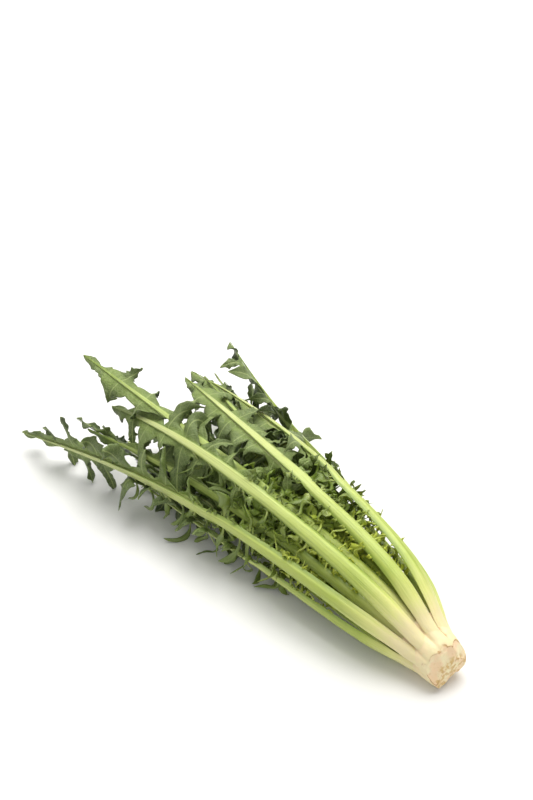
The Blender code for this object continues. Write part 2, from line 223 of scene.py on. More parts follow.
WIDTH_TAPER = Taper(0.05, 1.22, 0.8, 0.10)
DEPTH_TAPER = Taper(0.10, 1.40, 0.9, 0.12)
THREAD_HABIT = Habit(-0.20, 0.50, 1.0)
LOBE_HABIT = Habit(-0.34, 0.12, 1.0)
NOTCH_HABIT = Habit(0.0, 0.0, 0.3)
TIP_HABIT = Habit(-0.10, 0.10, 0.4)
START_HABIT = Habit(0.0, 0.0, 0.0)

RINGS = (
    Ring(RingName.OUTER, 0.0190, 0.0120, 0.0046, 0.042, 0.020, 7, 4, (
        Posture(0, 0.70, 4, -10, 4),
        Posture(40, 0.72, -8, -12, -8),
        Posture(80, 0.76, 0, 4, -5),
        Posture(120, 0.80, 2, 0, 3),
        Posture(160, 0.78, 4, 0, 3),
        Posture(200, 0.80, -4, 0, -3),
        Posture(240, 0.76, -3, 0, 1),
        Posture(280, 0.93, -12, -5, -11),
        Posture(320, 0.79, 12, -22, -4),
    )),
    Ring(RingName.MIDDLE, 0.0135, 0.0093, 0.0040, 0.036, 0.017, 6, 4, (
        Posture(20, 0.68, 4, 6, 3),
        Posture(65, 0.72, 5, 6, 4),
        Posture(110, 0.76, -4, 3, -4),
        Posture(155, 0.74, 3, 0, 4),
        Posture(200, 0.76, -3, 0, -4),
        Posture(245, 0.84, -3, 0, 2),
        Posture(290, 0.80, -9, -4, -7),
        Posture(335, 0.86, -14, 9, 3),
    )),
    Ring(RingName.INNER, 0.0082, 0.0072, 0.0034, 0.028, 0.014, 5, 4, (
        Posture(10, 0.62, 5, 4, 4),
        Posture(70, 0.62, -4, 5, -5),
        Posture(130, 0.66, 4, 0, 4),
        Posture(190, 0.58, 0, 0, -4),
        Posture(250, 0.64, -4, 3, 4),
        Posture(310, 0.72, 5, 5, -4),
    )),
    Ring(RingName.HEART, 0.0032, 0.0042, 0.0026, 0.012, 0.008, 4, 2, (
        Posture(40, 0.46, 0, 6, 5),
        Posture(160, 0.38, 0, 3, 4),
        Posture(280, 0.42, 0, 5, -5),
    )),
)  # fmt: skip


@dataclass(frozen=True)
class Tooth:
    """A thread or lobe: its reach, its lean towards the tip, its fold inwards and its curl."""

    reach: float
    lean: float = 0.0
    fold: float = 0.0
    curl: float = 0.0


@dataclass
class Station:
    """A section of a stalk or blade. It wishes for two teeth and starts with bare edges."""

    place: float
    wished: list[Tooth] | None = None
    teeth: list[Tooth] = field(default_factory=lambda: [Tooth(LEAST_REACH), Tooth(LEAST_REACH)])


def belly(along: Array) -> Array:
    """Gives how far the stalks have bulged out, from 0 at the crown to 1."""
    return 1 - np.exp(-along / BELLY_RUN)


def half_breadth(along: Array) -> Array:
    """Gives the outer ring's half width at shares of the head's length."""
    return ROOT_RING + BELLY_SIDE * belly(along) + FAN_SIDE * along**2


def half_height(along: Array) -> Array:
    """Gives the outer ring's half height, which the head's weight keeps low."""
    return ROOT_RING + BELLY_UP * belly(along) + FAN_UP * along


def axis_height(along: Array) -> Array:
    """Gives the axis's height, so that the two lowest outer stalks lie near the surface."""
    return LOWEST_STALKS * half_height(along) + LOWEST_STALK_HEIGHT


class Leaf:
    """One leaf: its midline, the frame along it, and the teeth that it wishes for."""

    def __init__(self, ring: Ring, index: int, draw: random.Random) -> None:
        """Lays the leaf out.

        Args:
            ring: The ring that the leaf stands in.
            index: Its number in the ring, from 0.
            draw: The head's random numbers.
        """
        self.ring = ring
        self.name = f"{ring.name.value}_leaf_{index + 1}"
        self.draw = random.Random(draw.random())
        posture = ring.postures[index]
        self.length = HEAD_LENGTH * posture.length
        self.azimuth = self.stray(posture.azimuth, STRAY_AZIMUTH)
        self.drift = self.stray(posture.drift, STRAY_BEND)
        self.curl = self.stray(posture.curl, STRAY_BEND)
        self.sway = self.stray(posture.sway, STRAY_BEND)
        self.roll = self.stray(0.0, STRAY_ROLL)
        self.lay_midline()
        self.blade_stations = self.plan_blade()
        self.stalk_stations = self.plan_stalk()

    def stray(self, degrees: float, most: float) -> float:
        """Draws an angle in radians, at most so many degrees off the planned one."""
        return math.radians(degrees + self.draw.uniform(-most, most))

    def lay_midline(self) -> None:
        """Lays the midline's points and its tangent, side and inner directions."""
        along = np.linspace(0.0, self.length / HEAD_LENGTH, PATH_STEPS)
        share = self.ring.radius / ROOT_RING
        azimuth = self.azimuth + self.drift * along**DRIFT_POWER
        breadth, height = half_breadth(along), half_height(along)
        across = breadth * share * np.sin(azimuth)
        upward = axis_height(along) + height * share * np.cos(azimuth)
        points = np.stack([across, along * HEAD_LENGTH, upward], axis=1)
        side = np.stack([breadth * np.cos(azimuth), 0 * along, -height * np.sin(azimuth)], 1)
        tangent = unit(np.gradient(points, axis=0))
        side = unit(side - tangent * (side * tangent).sum(1)[:, None])
        inner = np.cross(tangent, side)
        steps = np.linalg.norm(np.diff(points, axis=0), axis=1)
        run = np.concatenate([[0.0], np.cumsum(steps)])
        self.run = run * self.length / run[-1]
        place = self.run / self.length
        curl = (self.curl * smooth(CURL_FROM, CURL_TO, place))[:, None]
        sway = (self.sway * smooth(SWAY_FROM, 1.0, place))[:, None]
        turned = tangent * np.cos(curl) - inner * np.sin(curl)
        turned = unit(turned + side * np.tan(sway))
        strayed = (turned - tangent) * np.gradient(self.run)[:, None]
        self.points = points + np.cumsum(strayed, 0)
        square = (1 - smooth(0.0, SQUARE_UNTIL, place))[:, None]
        self.tangent = unit(turned * (1 - square) + np.array([0.0, 1.0, 0.0]) * square)
        side = unit(side - self.tangent * (side * self.tangent).sum(1)[:, None])
        inner = np.cross(self.tangent, side)
        roll = (self.roll * smooth(ROLL_FROM, ROLL_TO, place))[:, None]
        self.side = side * np.cos(roll) + inner * np.sin(roll)
        self.inner = np.cross(self.tangent, self.side)
        self.rest_on_surface(place)

    def rest_on_surface(self, place: Array) -> None:
        """Lifts the midline wherever the stalk or the blade's rib would sink below the surface.

        Args:
            place: The midline points' shares of the length.
        """
        width, depth = self.half_width(place), self.depth(place)
        side, inner = np.abs(self.side[:, 2]), self.inner[:, 2]
        back = BACK_DEPTH[1] * depth * inner + BACK_WIDTH * width * side
        edge = -EDGE_HEIGHT[1] * depth * inner + (width + LEAST_REACH) * side
        lowest = np.maximum(back, edge) + FLOOR_GAP
        self.points[:, 2] = np.maximum(self.points[:, 2], lowest)

    def at(self, place: float) -> tuple[Array, Array, Array, Array]:
        """Gives the midline's point and its tangent, side and inner directions.

        Args:
            place: A share of the leaf's length.

        Returns:
            The point and the three directions there.
        """
        run = place * self.length
        rows = (self.points, self.tangent, self.side, self.inner)
        found = [np.array([np.interp(run, self.run, r[:, k]) for k in range(3)]) for r in rows]
        return found[0], unit(found[1]), unit(found[2]), unit(found[3])

    def half_width(self, place: Array | float) -> Array | float:
        """Gives half the stalk's width, which swells above the root and tapers to the tip."""
        return self.ring.stalk_width / 2 * WIDTH_TAPER.at(place)

    def depth(self, place: Array | float) -> Array | float:
        """Gives the stalk's depth from its channel to its back."""
        return self.ring.stalk_depth * DEPTH_TAPER.at(place)

    def bladed(self, place: Array | float) -> Array | float:
        """Gives 0 where the stalk is bare and 1 where the blade lies on it."""
        return smooth(BLADE_FROM - BLADED_RUN, BLADE_FROM, place)

    def edge(self, place: float) -> tuple[float, float]:
        """Gives the stalk's edge at a place, as (across, inward)."""
        height = between(EDGE_HEIGHT, self.bladed(place)) * self.depth(place)
        return self.half_width(place) - LEAST_REACH, height

    def plan_stalk(self) -> list[Station]:
        """Plans the stalk: bare root, then pairs of threads, then the midrib.

        Returns:
            The stations in order.
        """
        pairs = self.ring.thread_pairs
        root = THREAD_ROOT / self.length
        stations = [Station(place) for place in ROOT_STATIONS]
        for pair in range(pairs):
            middle = between((THREADS_FROM, THREADS_TO), (pair + 0.5) / pairs)
            reach = self.ring.thread_reach * between((FIRST_THREAD_SHARE, 1.0), (pair + 1) / pairs)
            stations.append(Station(middle - root))
            stations.append(Station(middle, self.wish(middle, reach, THREAD_HABIT)))
            stations.append(Station(middle + root))
        return stations + [Station(notch.place) for notch in self.blade_stations[0:-1:2]]

    def plan_blade(self) -> list[Station]:
        """Plans the blade: notches and lobes by turns, then the spear-shaped tip.

        Returns:
            The stations in order.
        """
        pairs, most = self.ring.lobe_pairs, self.ring.lobe_reach
        span = (BLADE_FROM, LOBES_TO)
        start = self.wish(BLADE_FROM, BLADE_START_REACH, START_HABIT)
        stations = [Station(BLADE_FROM, start)]
        for pair in range(pairs):
            strayed = LOBE_PLACE + self.draw.uniform(-LOBE_STRAY, LOBE_STRAY)
            lobe = between(span, (pair + strayed) / pairs)
            swell = math.sin(math.pi * (pair + 0.9) / (pairs + 0.9)) ** LOBE_SWELL_POWER
            reach = most * between((END_LOBE_SHARE, 1.0), swell)
            stations.append(Station(lobe, self.wish(lobe, reach, LOBE_HABIT)))
            notch = between(span, (pair + 1) / pairs)
            reach = most * (NOTCH_SHARE + NOTCH_GROWTH * (pair + 1) / pairs)
            stations.append(Station(notch, self.wish(notch, reach, NOTCH_HABIT)))
        tip = self.wish(TIP_LOBE, most * TIP_LOBE_SHARE, TIP_HABIT)
        return [*stations, Station(TIP_LOBE, tip), Station(1.0)]

    def wish(self, place: float, reach: float, habit: Habit) -> list[Tooth]:
        """Draws the left and right teeth that a station should have. Limp teeth hang downwards.

        Args:
            place: The station's share of the leaf's length.
            reach: The teeth's planned reach.
            habit: How this kind of tooth grows.

        Returns:
            The left and the right tooth.
        """
        downward = -float(self.at(place)[3][2])
        leans = (habit.least_lean, habit.most_lean)
        wished = []
        for _ in (-1, 1):
            drawn = [self.draw.random() for _ in range(4)]
            reached = reach * (LEAST_SIZE + SIZE_RANGE * drawn[0])
            fold = SAG_FOLD * downward * drawn[1] + STRAY_FOLD * (drawn[2] - 0.4)
            curl = SAG_CURL * downward * drawn[3] + STRAY_CURL * (drawn[1] - 0.5)
            angles = [math.radians(habit.limpness * angle) for angle in (fold, curl)]
            wished.append(Tooth(reached, reach * between(leans, drawn[2]), *angles))
        return wished


def tooth_points(
    frame: tuple[Array, Array, Array, Array],
    hand: int,
    tooth: Tooth,
    edge: tuple[float, float],
    thickness: float,
) -> list[tuple[Array, Array]]:
    """Places a tooth's half-way and end points.

    Args:
        frame: The midline's point and directions at the tooth.
        hand: -1 for the left, 1 for the right.
        tooth: The tooth.
        edge: Where it starts, as (across, inward).
        thickness: How thick it is.

    Returns:
        The half-way and the end point, each as (upper, lower).
    """
    point, tangent, side, inner = frame
    place = point + edge[0] * hand * side + edge[1] * inner
    found = []
    for lean, angle in zip(BEND_LEANS, (tooth.fold, tooth.fold + tooth.curl)):
        across = math.cos(angle) * hand * side + math.sin(angle) * inner
        above = math.cos(angle) * inner - math.sin(angle) * hand * side
        place = place + across * tooth.reach / 2 + tangent * tooth.lean * lean
        found.append((place + above * thickness / 2, place - above * thickness / 2))
    return found


class SolidShape:
    """The solid stalk or blade of a leaf, which finds room for the leaf's teeth."""

    def __init__(self, leaf: Leaf, stations: list[Station], size: int) -> None:
        """Takes a leaf, its stalk's or blade's stations, and how many points a section has."""
        self.leaf, self.stations, self.size = leaf, stations, size

    def section(self, station: Station) -> list[Array]:
        """Gives the points round one section, upper left to right, then lower right to left."""
        raise NotImplementedError

    def mesh(self, stations: list[Station] | None = None) -> Mesh:
        """Lofts points and triangles through the stations, with their teeth as they stand.

        Args:
            stations: Some of the shape's stations, or all of them if left out.

        Returns:
            The points and the triangles.
        """
        stations = stations or self.stations
        points = np.array([p for s in stations for p in self.section(s)])
        return points, self.loft(stations)

    def loft(self, stations: list[Station]) -> list[tuple[int, ...]]:
        """Triangulates between the sections. Both faces of a tooth are split alike.

        Args:
            stations: The stations in order.

        Returns:
            The triangles.
        """
        size, half = self.size, self.size // 2
        faces = []
        for row in range(len(stations) - 1):
            near, far = row * size, (row + 1) * size
            for spot in range(size):
                column = spot if spot < half - 1 else size - 2 - spot
                left = column < (half - 1) / 2
                hand = 0 if left else 1
                longer = stations[row + 1].teeth[hand].reach > stations[row].teeth[hand].reach
                following = (spot + 1) % size
                a, b, c, d = near + spot, near + following, far + following, far + spot
                if longer == ((spot < half) == left):
                    faces += [(a, b, c), (a, c, d)]
                else:
                    faces += [(a, b, d), (b, c, d)]
        last = (len(stations) - 1) * size
        for k in range(half - 1):
            below = size - 1 - k
            faces += [(k + 1, k, below), (k + 1, below, below - 1)]
            faces += [(last + k, last + k + 1, last + below)]
            faces += [(last + k + 1, last + below - 1, last + below)]
        return faces

    def is_clear(
        self, index: int, hand: int, tooth: Tooth, others: BVHTree, partner: BVHTree
    ) -> bool:
        """Tells whether a tooth stays off the surface, its own leaf and every other leaf.

        Args:
            index: The station's number.
            hand: 0 for the left tooth, 1 for the right.
            tooth: The tooth to try.
            others: The other leaves.
            partner: The rest of this leaf.

        Returns:
            True if it is clear.
        """
        station = self.stations[index]
        kept = station.teeth[hand]
        station.teeth[hand] = Tooth(tooth.reach + CLEAR_GAP, tooth.lean, tooth.fold, tooth.curl)
        points, faces = self.mesh(self.stations[max(index - 2, 0) : index + 3])
        station.teeth[hand] = kept
        if points[:, 2].min() < FLOOR_GAP / 2:
            return False
        still = tree_of([(points, faces)])
        own = still.overlap(still)
        if still.overlap(partner) or any(not set(faces[a]) & set(faces[b]) for a, b in own):
            return False
        shift = self.leaf.at(station.place)[3] * CLEAR_GAP
        moved = (tree_of([(points + step, faces)]) for step in (-shift, shift))
        return not any(tree.overlap(others) for tree in moved)

    def place_tooth(self, index: int, hand: int, others: BVHTree, partner: BVHTree) -> None:
        """Gives a tooth the first size, curl and turn at which it clears its neighbours.

        Args:
            index: The station's number.
            hand: 0 for the left tooth, 1 for the right.
            others: The other leaves.
            partner: The rest of this leaf.
        """
        wish = self.stations[index].wished[hand]
        for share in SHARES:
            for curl_share in CURL_SHARES:
                for turn in TURNS:
                    fold = wish.fold + turn
                    if not MOST_BACK_FOLD <= fold <= MOST_FOLD:
                        continue
                    curl = wish.curl * curl_share
                    tooth = Tooth(wish.reach * share, wish.lean * share, fold, curl)
                    if self.is_clear(index, hand, tooth, others, partner):
                        self.stations[index].teeth[hand] = tooth
                        return

    def place_teeth(self, others: BVHTree, partner: BVHTree) -> None:
        """Places the long teeth first, and then the notches between them.

        Args:
            others: The other leaves.
            partner: The rest of this leaf.
        """
        wished = [k for k, station in enumerate(self.stations) if station.wished]
        wished.sort(key=lambda k: -max(tooth.reach for tooth in self.stations[k].wished))
        for index in wished:
            for hand in (0, 1):
                self.place_tooth(index, hand, others, partner)


class SolidStalk(SolidShape):
    """The solid stalk, with eight points a section."""

    def section(self, station: Station) -> list[Array]:
        """Gives the eight points round the stalk.

        Args:
            station: The station.

        Returns:
            The points.
        """
        leaf, frame = self.leaf, self.leaf.at(station.place)
        point, _, side, inner = frame
        width, depth = leaf.half_width(station.place), leaf.depth(station.place)
        bladed, edge = leaf.bladed(station.place), leaf.edge(station.place)
        trough = between(TROUGH_HEIGHT, bladed) * depth
        back = -between(BACK_DEPTH, bladed) * depth
        left = tooth_points(frame, -1, station.teeth[0], edge, THREAD_THICKNESS)[1]
        right = tooth_points(frame, 1, station.teeth[1], edge, THREAD_THICKNESS)[1]
        inset = between(TROUGH_INSET, bladed) * width
        upper = [point + s * inset * side + trough * inner for s in (-1, 1)]
        lower = [point + s * BACK_WIDTH * width * side + back * inner for s in (1, -1)]
        return [left[0], *upper, right[0], right[1], *lower, left[1]]


class SolidBlade(SolidShape):
    """The solid blade, with ten points a section."""

    def section(self, station: Station) -> list[Array]:
        """Gives the ten points round the blade.

        Args:
            station: The station.

        Returns:
            The points.
        """
        frame = self.leaf.at(station.place)
        height = BLADE_GAP + BLADE_THICKNESS / 2
        left = tooth_points(frame, -1, station.teeth[0], (0, height), BLADE_THICKNESS)
        right = tooth_points(frame, 1, station.teeth[1], (0, height), BLADE_THICKNESS)
        centre = [frame[0] + frame[3] * (height + s * BLADE_THICKNESS / 2) for s in (1, -1)]
        upper = [left[1][0], left[0][0], centre[0], right[0][0], right[1][0]]
        lower = [right[1][1], right[0][1], centre[1], left[0][1], left[1][1]]
        return upper + lower


def tree_of(meshes: list[Mesh]) -> BVHTree:
    """Makes one search tree over several meshes.

    Args:
        meshes: Points and faces, several times.

    Returns:
        The tree.
    """
    points, faces = [], []
    for mesh_points, mesh_faces in meshes:
        start = len(points)
        points += [tuple(p) for p in mesh_points]
        faces += [tuple(start + k for k in face) for face in mesh_faces]
    return BVHTree.FromPolygons(points, faces)


@dataclass
class GrownLeaf:
    """A leaf with the stalk and blade that its solids have."""

    leaf: Leaf
    stalk: SolidStalk
    blade: SolidBlade


@dataclass
class Growth:
    """Grows every leaf again as the solids grew."""

    seed: int = SEED
    rings: tuple[Ring, ...] = RINGS

    def bare_leaf(
        self, ring: Ring, index: int, draw: random.Random, earlier: list[Mesh]
    ) -> GrownLeaf:
        """Draws a leaf without teeth until it clears the earlier leaves.

        Args:
            ring: The leaf's ring.
            index: Its number in the ring.
            draw: The head's random numbers.
            earlier: The solids of the earlier leaves.

        Returns:
            The leaf.
        """
        for _ in range(MOST_DRAWS):
            leaf = Leaf(ring, index, draw)
            stalk = SolidStalk(leaf, leaf.stalk_stations, 8)
            blade = SolidBlade(leaf, leaf.blade_stations, 10)
            meshes = [stalk.mesh(), blade.mesh()]
            if min(points[:, 2].min() for points, _ in meshes) < 0:
                continue
            if not earlier or not tree_of(meshes).overlap(tree_of(earlier)):
                return GrownLeaf(leaf, stalk, blade)
        raise ValueError(f"{ring.name.value} leaf {index + 1} has no room")

    def grow(self) -> list[GrownLeaf]:
        """Grows the whole head, with the outer leaves' teeth placed first.

        Returns:
            The leaves in order.
        """
        draw = random.Random(self.seed)
        grown: list[GrownLeaf] = []
        bare: list[Mesh] = []
        for ring in self.rings:
            for index in range(len(ring.postures)):
                one = self.bare_leaf(ring, index, draw, bare)
                grown.append(one)
                bare += [one.stalk.mesh(), one.blade.mesh()]
        for own in grown:
            rest = [one for one in grown if one is not own]
            others = tree_of([s.mesh() for one in rest for s in (one.stalk, one.blade)])
            own.stalk.place_teeth(others, tree_of([own.blade.mesh()]))
            own.blade.place_teeth(others, tree_of([own.stalk.mesh()]))
        return grown


SMOOTH_STEP = {"interpolation_type": "SMOOTHSTEP"}
TO_EDGES = {"feature": "DISTANCE_TO_EDGE"}
IN_COLOUR = {"data_type": "RGBA", "clamp_factor": True}


class Socket:
    """A value in a material, on which arithmetic adds Math nodes."""

    def __init__(self, shader: "Shader", link: bpy.types.NodeSocket) -> None:
        """Wraps a node's output in a material."""
        self.shader, self.link = shader, link

    def __add__(self, other: "Socket | float") -> "Socket":
        """Adds a number or value."""
        return self.shader.maths("ADD", self, other)

    def __radd__(self, other: float) -> "Socket":
        """Adds this value to a number."""
        return self.shader.maths("ADD", other, self)

    def __sub__(self, other: "Socket | float") -> "Socket":
        """Takes a number or value away."""
        return self.shader.maths("SUBTRACT", self, other)

    def __rsub__(self, other: float) -> "Socket":
        """Takes this value away from a number."""
        return self.shader.maths("SUBTRACT", other, self)

    def __mul__(self, other: "Socket | float") -> "Socket":
        """Multiplies by a number or value."""
        return self.shader.maths("MULTIPLY", self, other)

    def __rmul__(self, other: float) -> "Socket":
        """Multiplies a number by this value."""
        return self.shader.maths("MULTIPLY", other, self)

    def __truediv__(self, other: "Socket | float") -> "Socket":
        """Divides by a number or value."""
        return self.shader.maths("DIVIDE", self, other)

    def __rtruediv__(self, other: float) -> "Socket":
        """Divides a number by this value."""
        return self.shader.maths("DIVIDE", other, self)

    def __abs__(self) -> "Socket":
        """Gives the value without its sign."""
        return self.shader.maths("ABSOLUTE", self)

    def repeat(self, step: float) -> "Socket":
        """Gives how far the value is from the nearest whole step, as a share of the step."""
        return abs(self.shader.maths("FRACT", self / step) - 0.5)

    def rise(self, low: float, high: float) -> "Socket":
        """Gives 0 below low, 1 above high, and an even curve between them."""
        sockets = {"Value": self, "From Min": low, "From Max": high}
        return self.shader.add("ShaderNodeMapRange", SMOOTH_STEP, sockets, "Result")

    def fall(self, low: float, high: float) -> "Socket":
        """Gives 1 below low, 0 above high, and an even curve between them."""
        return 1 - self.rise(low, high)


class Shader:
    """A material's nodes, made from expressions."""

    def __init__(self, name: str) -> None:
        """Starts a material with one Principled shader.

        Args:
            name: The material's name.
        """
        self.material = bpy.data.materials.new(name)
        self.material.use_nodes = True
        self.tree = self.material.node_tree
        self.surface = self.tree.nodes["Principled BSDF"]

    def join(self, value: object, socket: bpy.types.NodeSocket) -> None:
        """Links a value to an input, or sets the input to it.

        Args:
            value: A Socket, a number, or a tuple.
            socket: The input.
        """
        if isinstance(value, Socket):
            self.tree.links.new(value.link, socket)
        elif socket.type == "RGBA":
            socket.default_value = (*value[:3], 1.0)
        else:
            socket.default_value = value

    def add(
        self,
        kind: str,
        settings: dict[str, object] | None = None,
        sockets: dict[str | int, object] | None = None,
        output: str | int = 0,
    ) -> Socket:
        """Adds any node.

        Args:
            kind: The node's type.
            settings: Its settings, which are set first. A ramp's are its stops.
            sockets: The values or links of its inputs.
            output: Which output to give back.

        Returns:
            That output.
        """
        node = self.tree.nodes.new(kind)
        for name, value in (settings or {}).items():
            if name == "stops":
                for _ in range(len(value) - 2):
                    node.color_ramp.elements.new(0.5)
                for stop, (place, colour) in zip(node.color_ramp.elements, value):
                    stop.position, stop.color = place, (*colour, 1.0)
            else:
                setattr(node, name, value)
        for name, value in (sockets or {}).items():
            self.join(value, node.inputs[name])
        return Socket(self, node.outputs[output])

    def maths(self, operation: str, *values: "Socket | float") -> Socket:
        """Adds a Math node on one or two values."""
        return self.add("ShaderNodeMath", {"operation": operation}, dict(enumerate(values)))

    def value(self, name: str) -> Socket:
        """Reads a value that the mesh carries."""
        return self.add("ShaderNodeAttribute", {"attribute_name": name}, output="Fac")

    def vector(self, x: "Socket | float", y: "Socket | float", z: "Socket | float") -> Socket:
        """Joins three values into a vector."""
        return self.add("ShaderNodeCombineXYZ", sockets={"X": x, "Y": y, "Z": z})

    def place(self) -> Socket:
        """Reads the object's own coordinates."""
        return self.add("ShaderNodeTexCoord", output="Object")

    def noise(self, place: Socket, scale: float, detail: float) -> Socket:
        """Gives noise from about 0.3 to 0.7, with so many bumps a unit and finer layers."""
        sockets = {"Vector": place, "Scale": scale, "Detail": detail}
        return self.add("ShaderNodeTexNoise", sockets=sockets, output="Fac")

    def scaled(self, place: Socket, scales: tuple[float, float, float]) -> Socket:
        """Scales a vector along each axis."""
        return self.add("ShaderNodeVectorMath", {"operation": "MULTIPLY"}, {0: place, 1: scales})

    def cells(self, place: Socket, scale: float) -> Socket:
        """Gives the distance to the edges of small cells."""
        sockets = {"Vector": place, "Scale": scale}
        return self.add("ShaderNodeTexVoronoi", TO_EDGES, sockets, "Distance")

    def ramp(self, value: Socket, stops: tuple[tuple[float, Colour], ...]) -> Socket:
        """Turns a value into a colour through a ramp's stops."""
        return self.add("ShaderNodeValToRGB", {"stops": stops}, {"Fac": value})

    def mix(self, share: "Socket | float", low: object, high: object) -> Socket:
        """Mixes two colours: low at share 0, high at share 1."""
        return self.add("ShaderNodeMix", IN_COLOUR, {0: share, 6: low, 7: high}, 2)

    def bump(self, height: Socket, distance: float) -> Socket:
        """Turns a height from 0 to 1 into bumps that are distance high."""
        return self.add("ShaderNodeBump", sockets={"Height": height, "Distance": distance})

    def finish(self, **inputs: object) -> bpy.types.Material:
        """Joins the Principled shader's inputs.

        Args:
            **inputs: Values or links, by the input's name with underscores for spaces.

        Returns:
            The material.
        """
        for name, value in inputs.items():
            self.join(value, self.surface.inputs[name.replace("_", " ")])
        return self.material


@dataclass(frozen=True)
class StalkFinish:
    """Satin, finely ribbed stalk flesh: cream at the root, pale green above, green edges with
    painted shade.
    """

    name: str
    root: Colour = (0.84, 0.74, 0.41)
    base: Colour = (0.72, 0.73, 0.26)
    low: Colour = (0.46, 0.56, 0.105)
    middle: Colour = (0.52, 0.61, 0.155)
    high: Colour = (0.70, 0.75, 0.34)
    # edge: the edges' own green, made dark enough to also stand as painted shade in the gaps
    # between stalks
    edge: Colour = (0.17, 0.27, 0.032)
    young: Colour = (0.56, 0.63, 0.050)
    frond: Colour = (0.115, 0.175, 0.030)
    roughness: float = 0.20

    def dress(self) -> bpy.types.Material:
        """Makes the material from the stalk's own values.

        Returns:
            The material.
        """
        shader = Shader(self.name)
        along, across = shader.value("along"), shader.value("across")
        run, tone = shader.value("run"), shader.value("tone")
        fibre = shader.noise(shader.vector(across * 7 + tone * 31, run * 11, tone * 7), 1.0, 4.0)
        fine = shader.noise(shader.vector(across * 30, run * 60, tone * 13), 1.0, 3.0)
        stops = (
            (0.0, self.root),
            (0.055, self.base),
            (0.14, self.low),
            (0.36, self.middle),
            (0.80, self.high),
            (1.0, self.edge),
        )
        flesh = shader.ramp(along + (fibre - 0.5) * 0.07 + (tone - 0.5) * 0.05, stops)
        line = fibre.rise(0.50, 0.66) * 0.6 + fine.rise(0.5, 0.7) * 0.35
        streaked = shader.mix(line * along.rise(0.04, 0.20) * 0.6, flesh, self.edge)
        pale = fine.fall(0.36, 0.50) * along.rise(0.02, 0.12)
        lined = shader.mix(pale * 0.35, streaked, self.low)
        # Painted shade: both sides of the stalk darken towards the edge colour, partly the edges'
        # real green, partly the shade of the gaps between stalks
        green = abs(across).rise(0.66, 1.0) * along.rise(0.06, 0.22)
        edge_green_and_shade = shader.mix(green * 0.75, lined, self.edge)
        thread = shader.value("thread")
        frond = shader.mix(along.rise(0.14, 0.42), self.young, self.frond)
        leafy = shader.mix(thread * 0.9, edge_green_and_shade, frond)
        return shader.finish(
            Base_Color=leafy,
            Roughness=self.roughness + fine * 0.22,
            Normal=shader.bump(fibre * 0.6 + fine * 0.4, 0.0006),
            Subsurface_Weight=0.15,
            Subsurface_Radius=(0.8, 0.7, 0.25),
            Subsurface_Scale=0.003,
        )


@dataclass(frozen=True)
class BladeFinish:
    """Soft leaf tissue: deep green above, greyer below, with pale veins and a pale midrib."""

    name: str
    front: Colour = (0.024, 0.048, 0.010)
    back: Colour = (0.150, 0.205, 0.062)
    young: Colour = (0.30, 0.42, 0.060)
    vein: Colour = (0.42, 0.51, 0.19)
    midrib: Colour = (0.60, 0.68, 0.28)
    roughness: float = 0.42

    def dress(self) -> bpy.types.Material:
        """Makes the material from the blade's own values.

        Returns:
            The material.
        """
        shader = Shader(self.name)
        upper, tone = shader.value("upper"), shader.value("tone")
        lobe = shader.value("lobe")
        along, midrib = shader.value("along"), shader.value("midrib")
        aside, run, reach = shader.value("aside"), shader.value("run"), shader.value("reach")
        broad = shader.noise(shader.place(), 38.0, 3.0)
        fine = shader.noise(shader.place(), 420.0, 3.0)
        cell = shader.cells(shader.place(), 620.0)
        main = aside.fall(0.00025, 0.00075)
        branch = (run - aside * 0.9 + broad * 0.004).repeat(0.0048).rise(0.435, 0.485)
        net = cell.fall(0.02, 0.16)
        lines = shader.maths("MAXIMUM", main, branch * 0.7)
        veins = shader.maths("MAXIMUM", lines, net * 0.35)
        lit = broad.rise(0.34, 0.66) * 0.35 + lobe * 0.45
        front = shader.mix(lit + (tone - 0.5) * 0.4 - 0.1, self.front, self.back)
        back = shader.mix(lit + (tone - 0.5) * 0.4 - 0.15, self.back, self.front)
        face = shader.mix(upper, back, front)
        fresh = reach.fall(0.0, 0.55) * 0.30 + along.fall(0.45, 0.72) * 0.30
        flesh = shader.mix(fresh, face, self.young)
        veined = shader.mix(veins * (0.60 - upper * 0.22), flesh, self.vein)
        rib = midrib.fall(0.75, 1.15)
        ribbed = shader.mix(rib * 0.9, veined, self.midrib)
        relief = cell.rise(0.0, 0.3) * 0.5 + fine * 0.25 + (1 - lines) * 0.5
        return shader.finish(
            Base_Color=ribbed,
            Roughness=self.roughness + fine * 0.2 - upper * 0.12,
            Normal=shader.bump(relief, 0.0005),
            Subsurface_Weight=0.06,
            Subsurface_Radius=(0.5, 1.0, 0.2),
            Subsurface_Scale=0.001,
        )


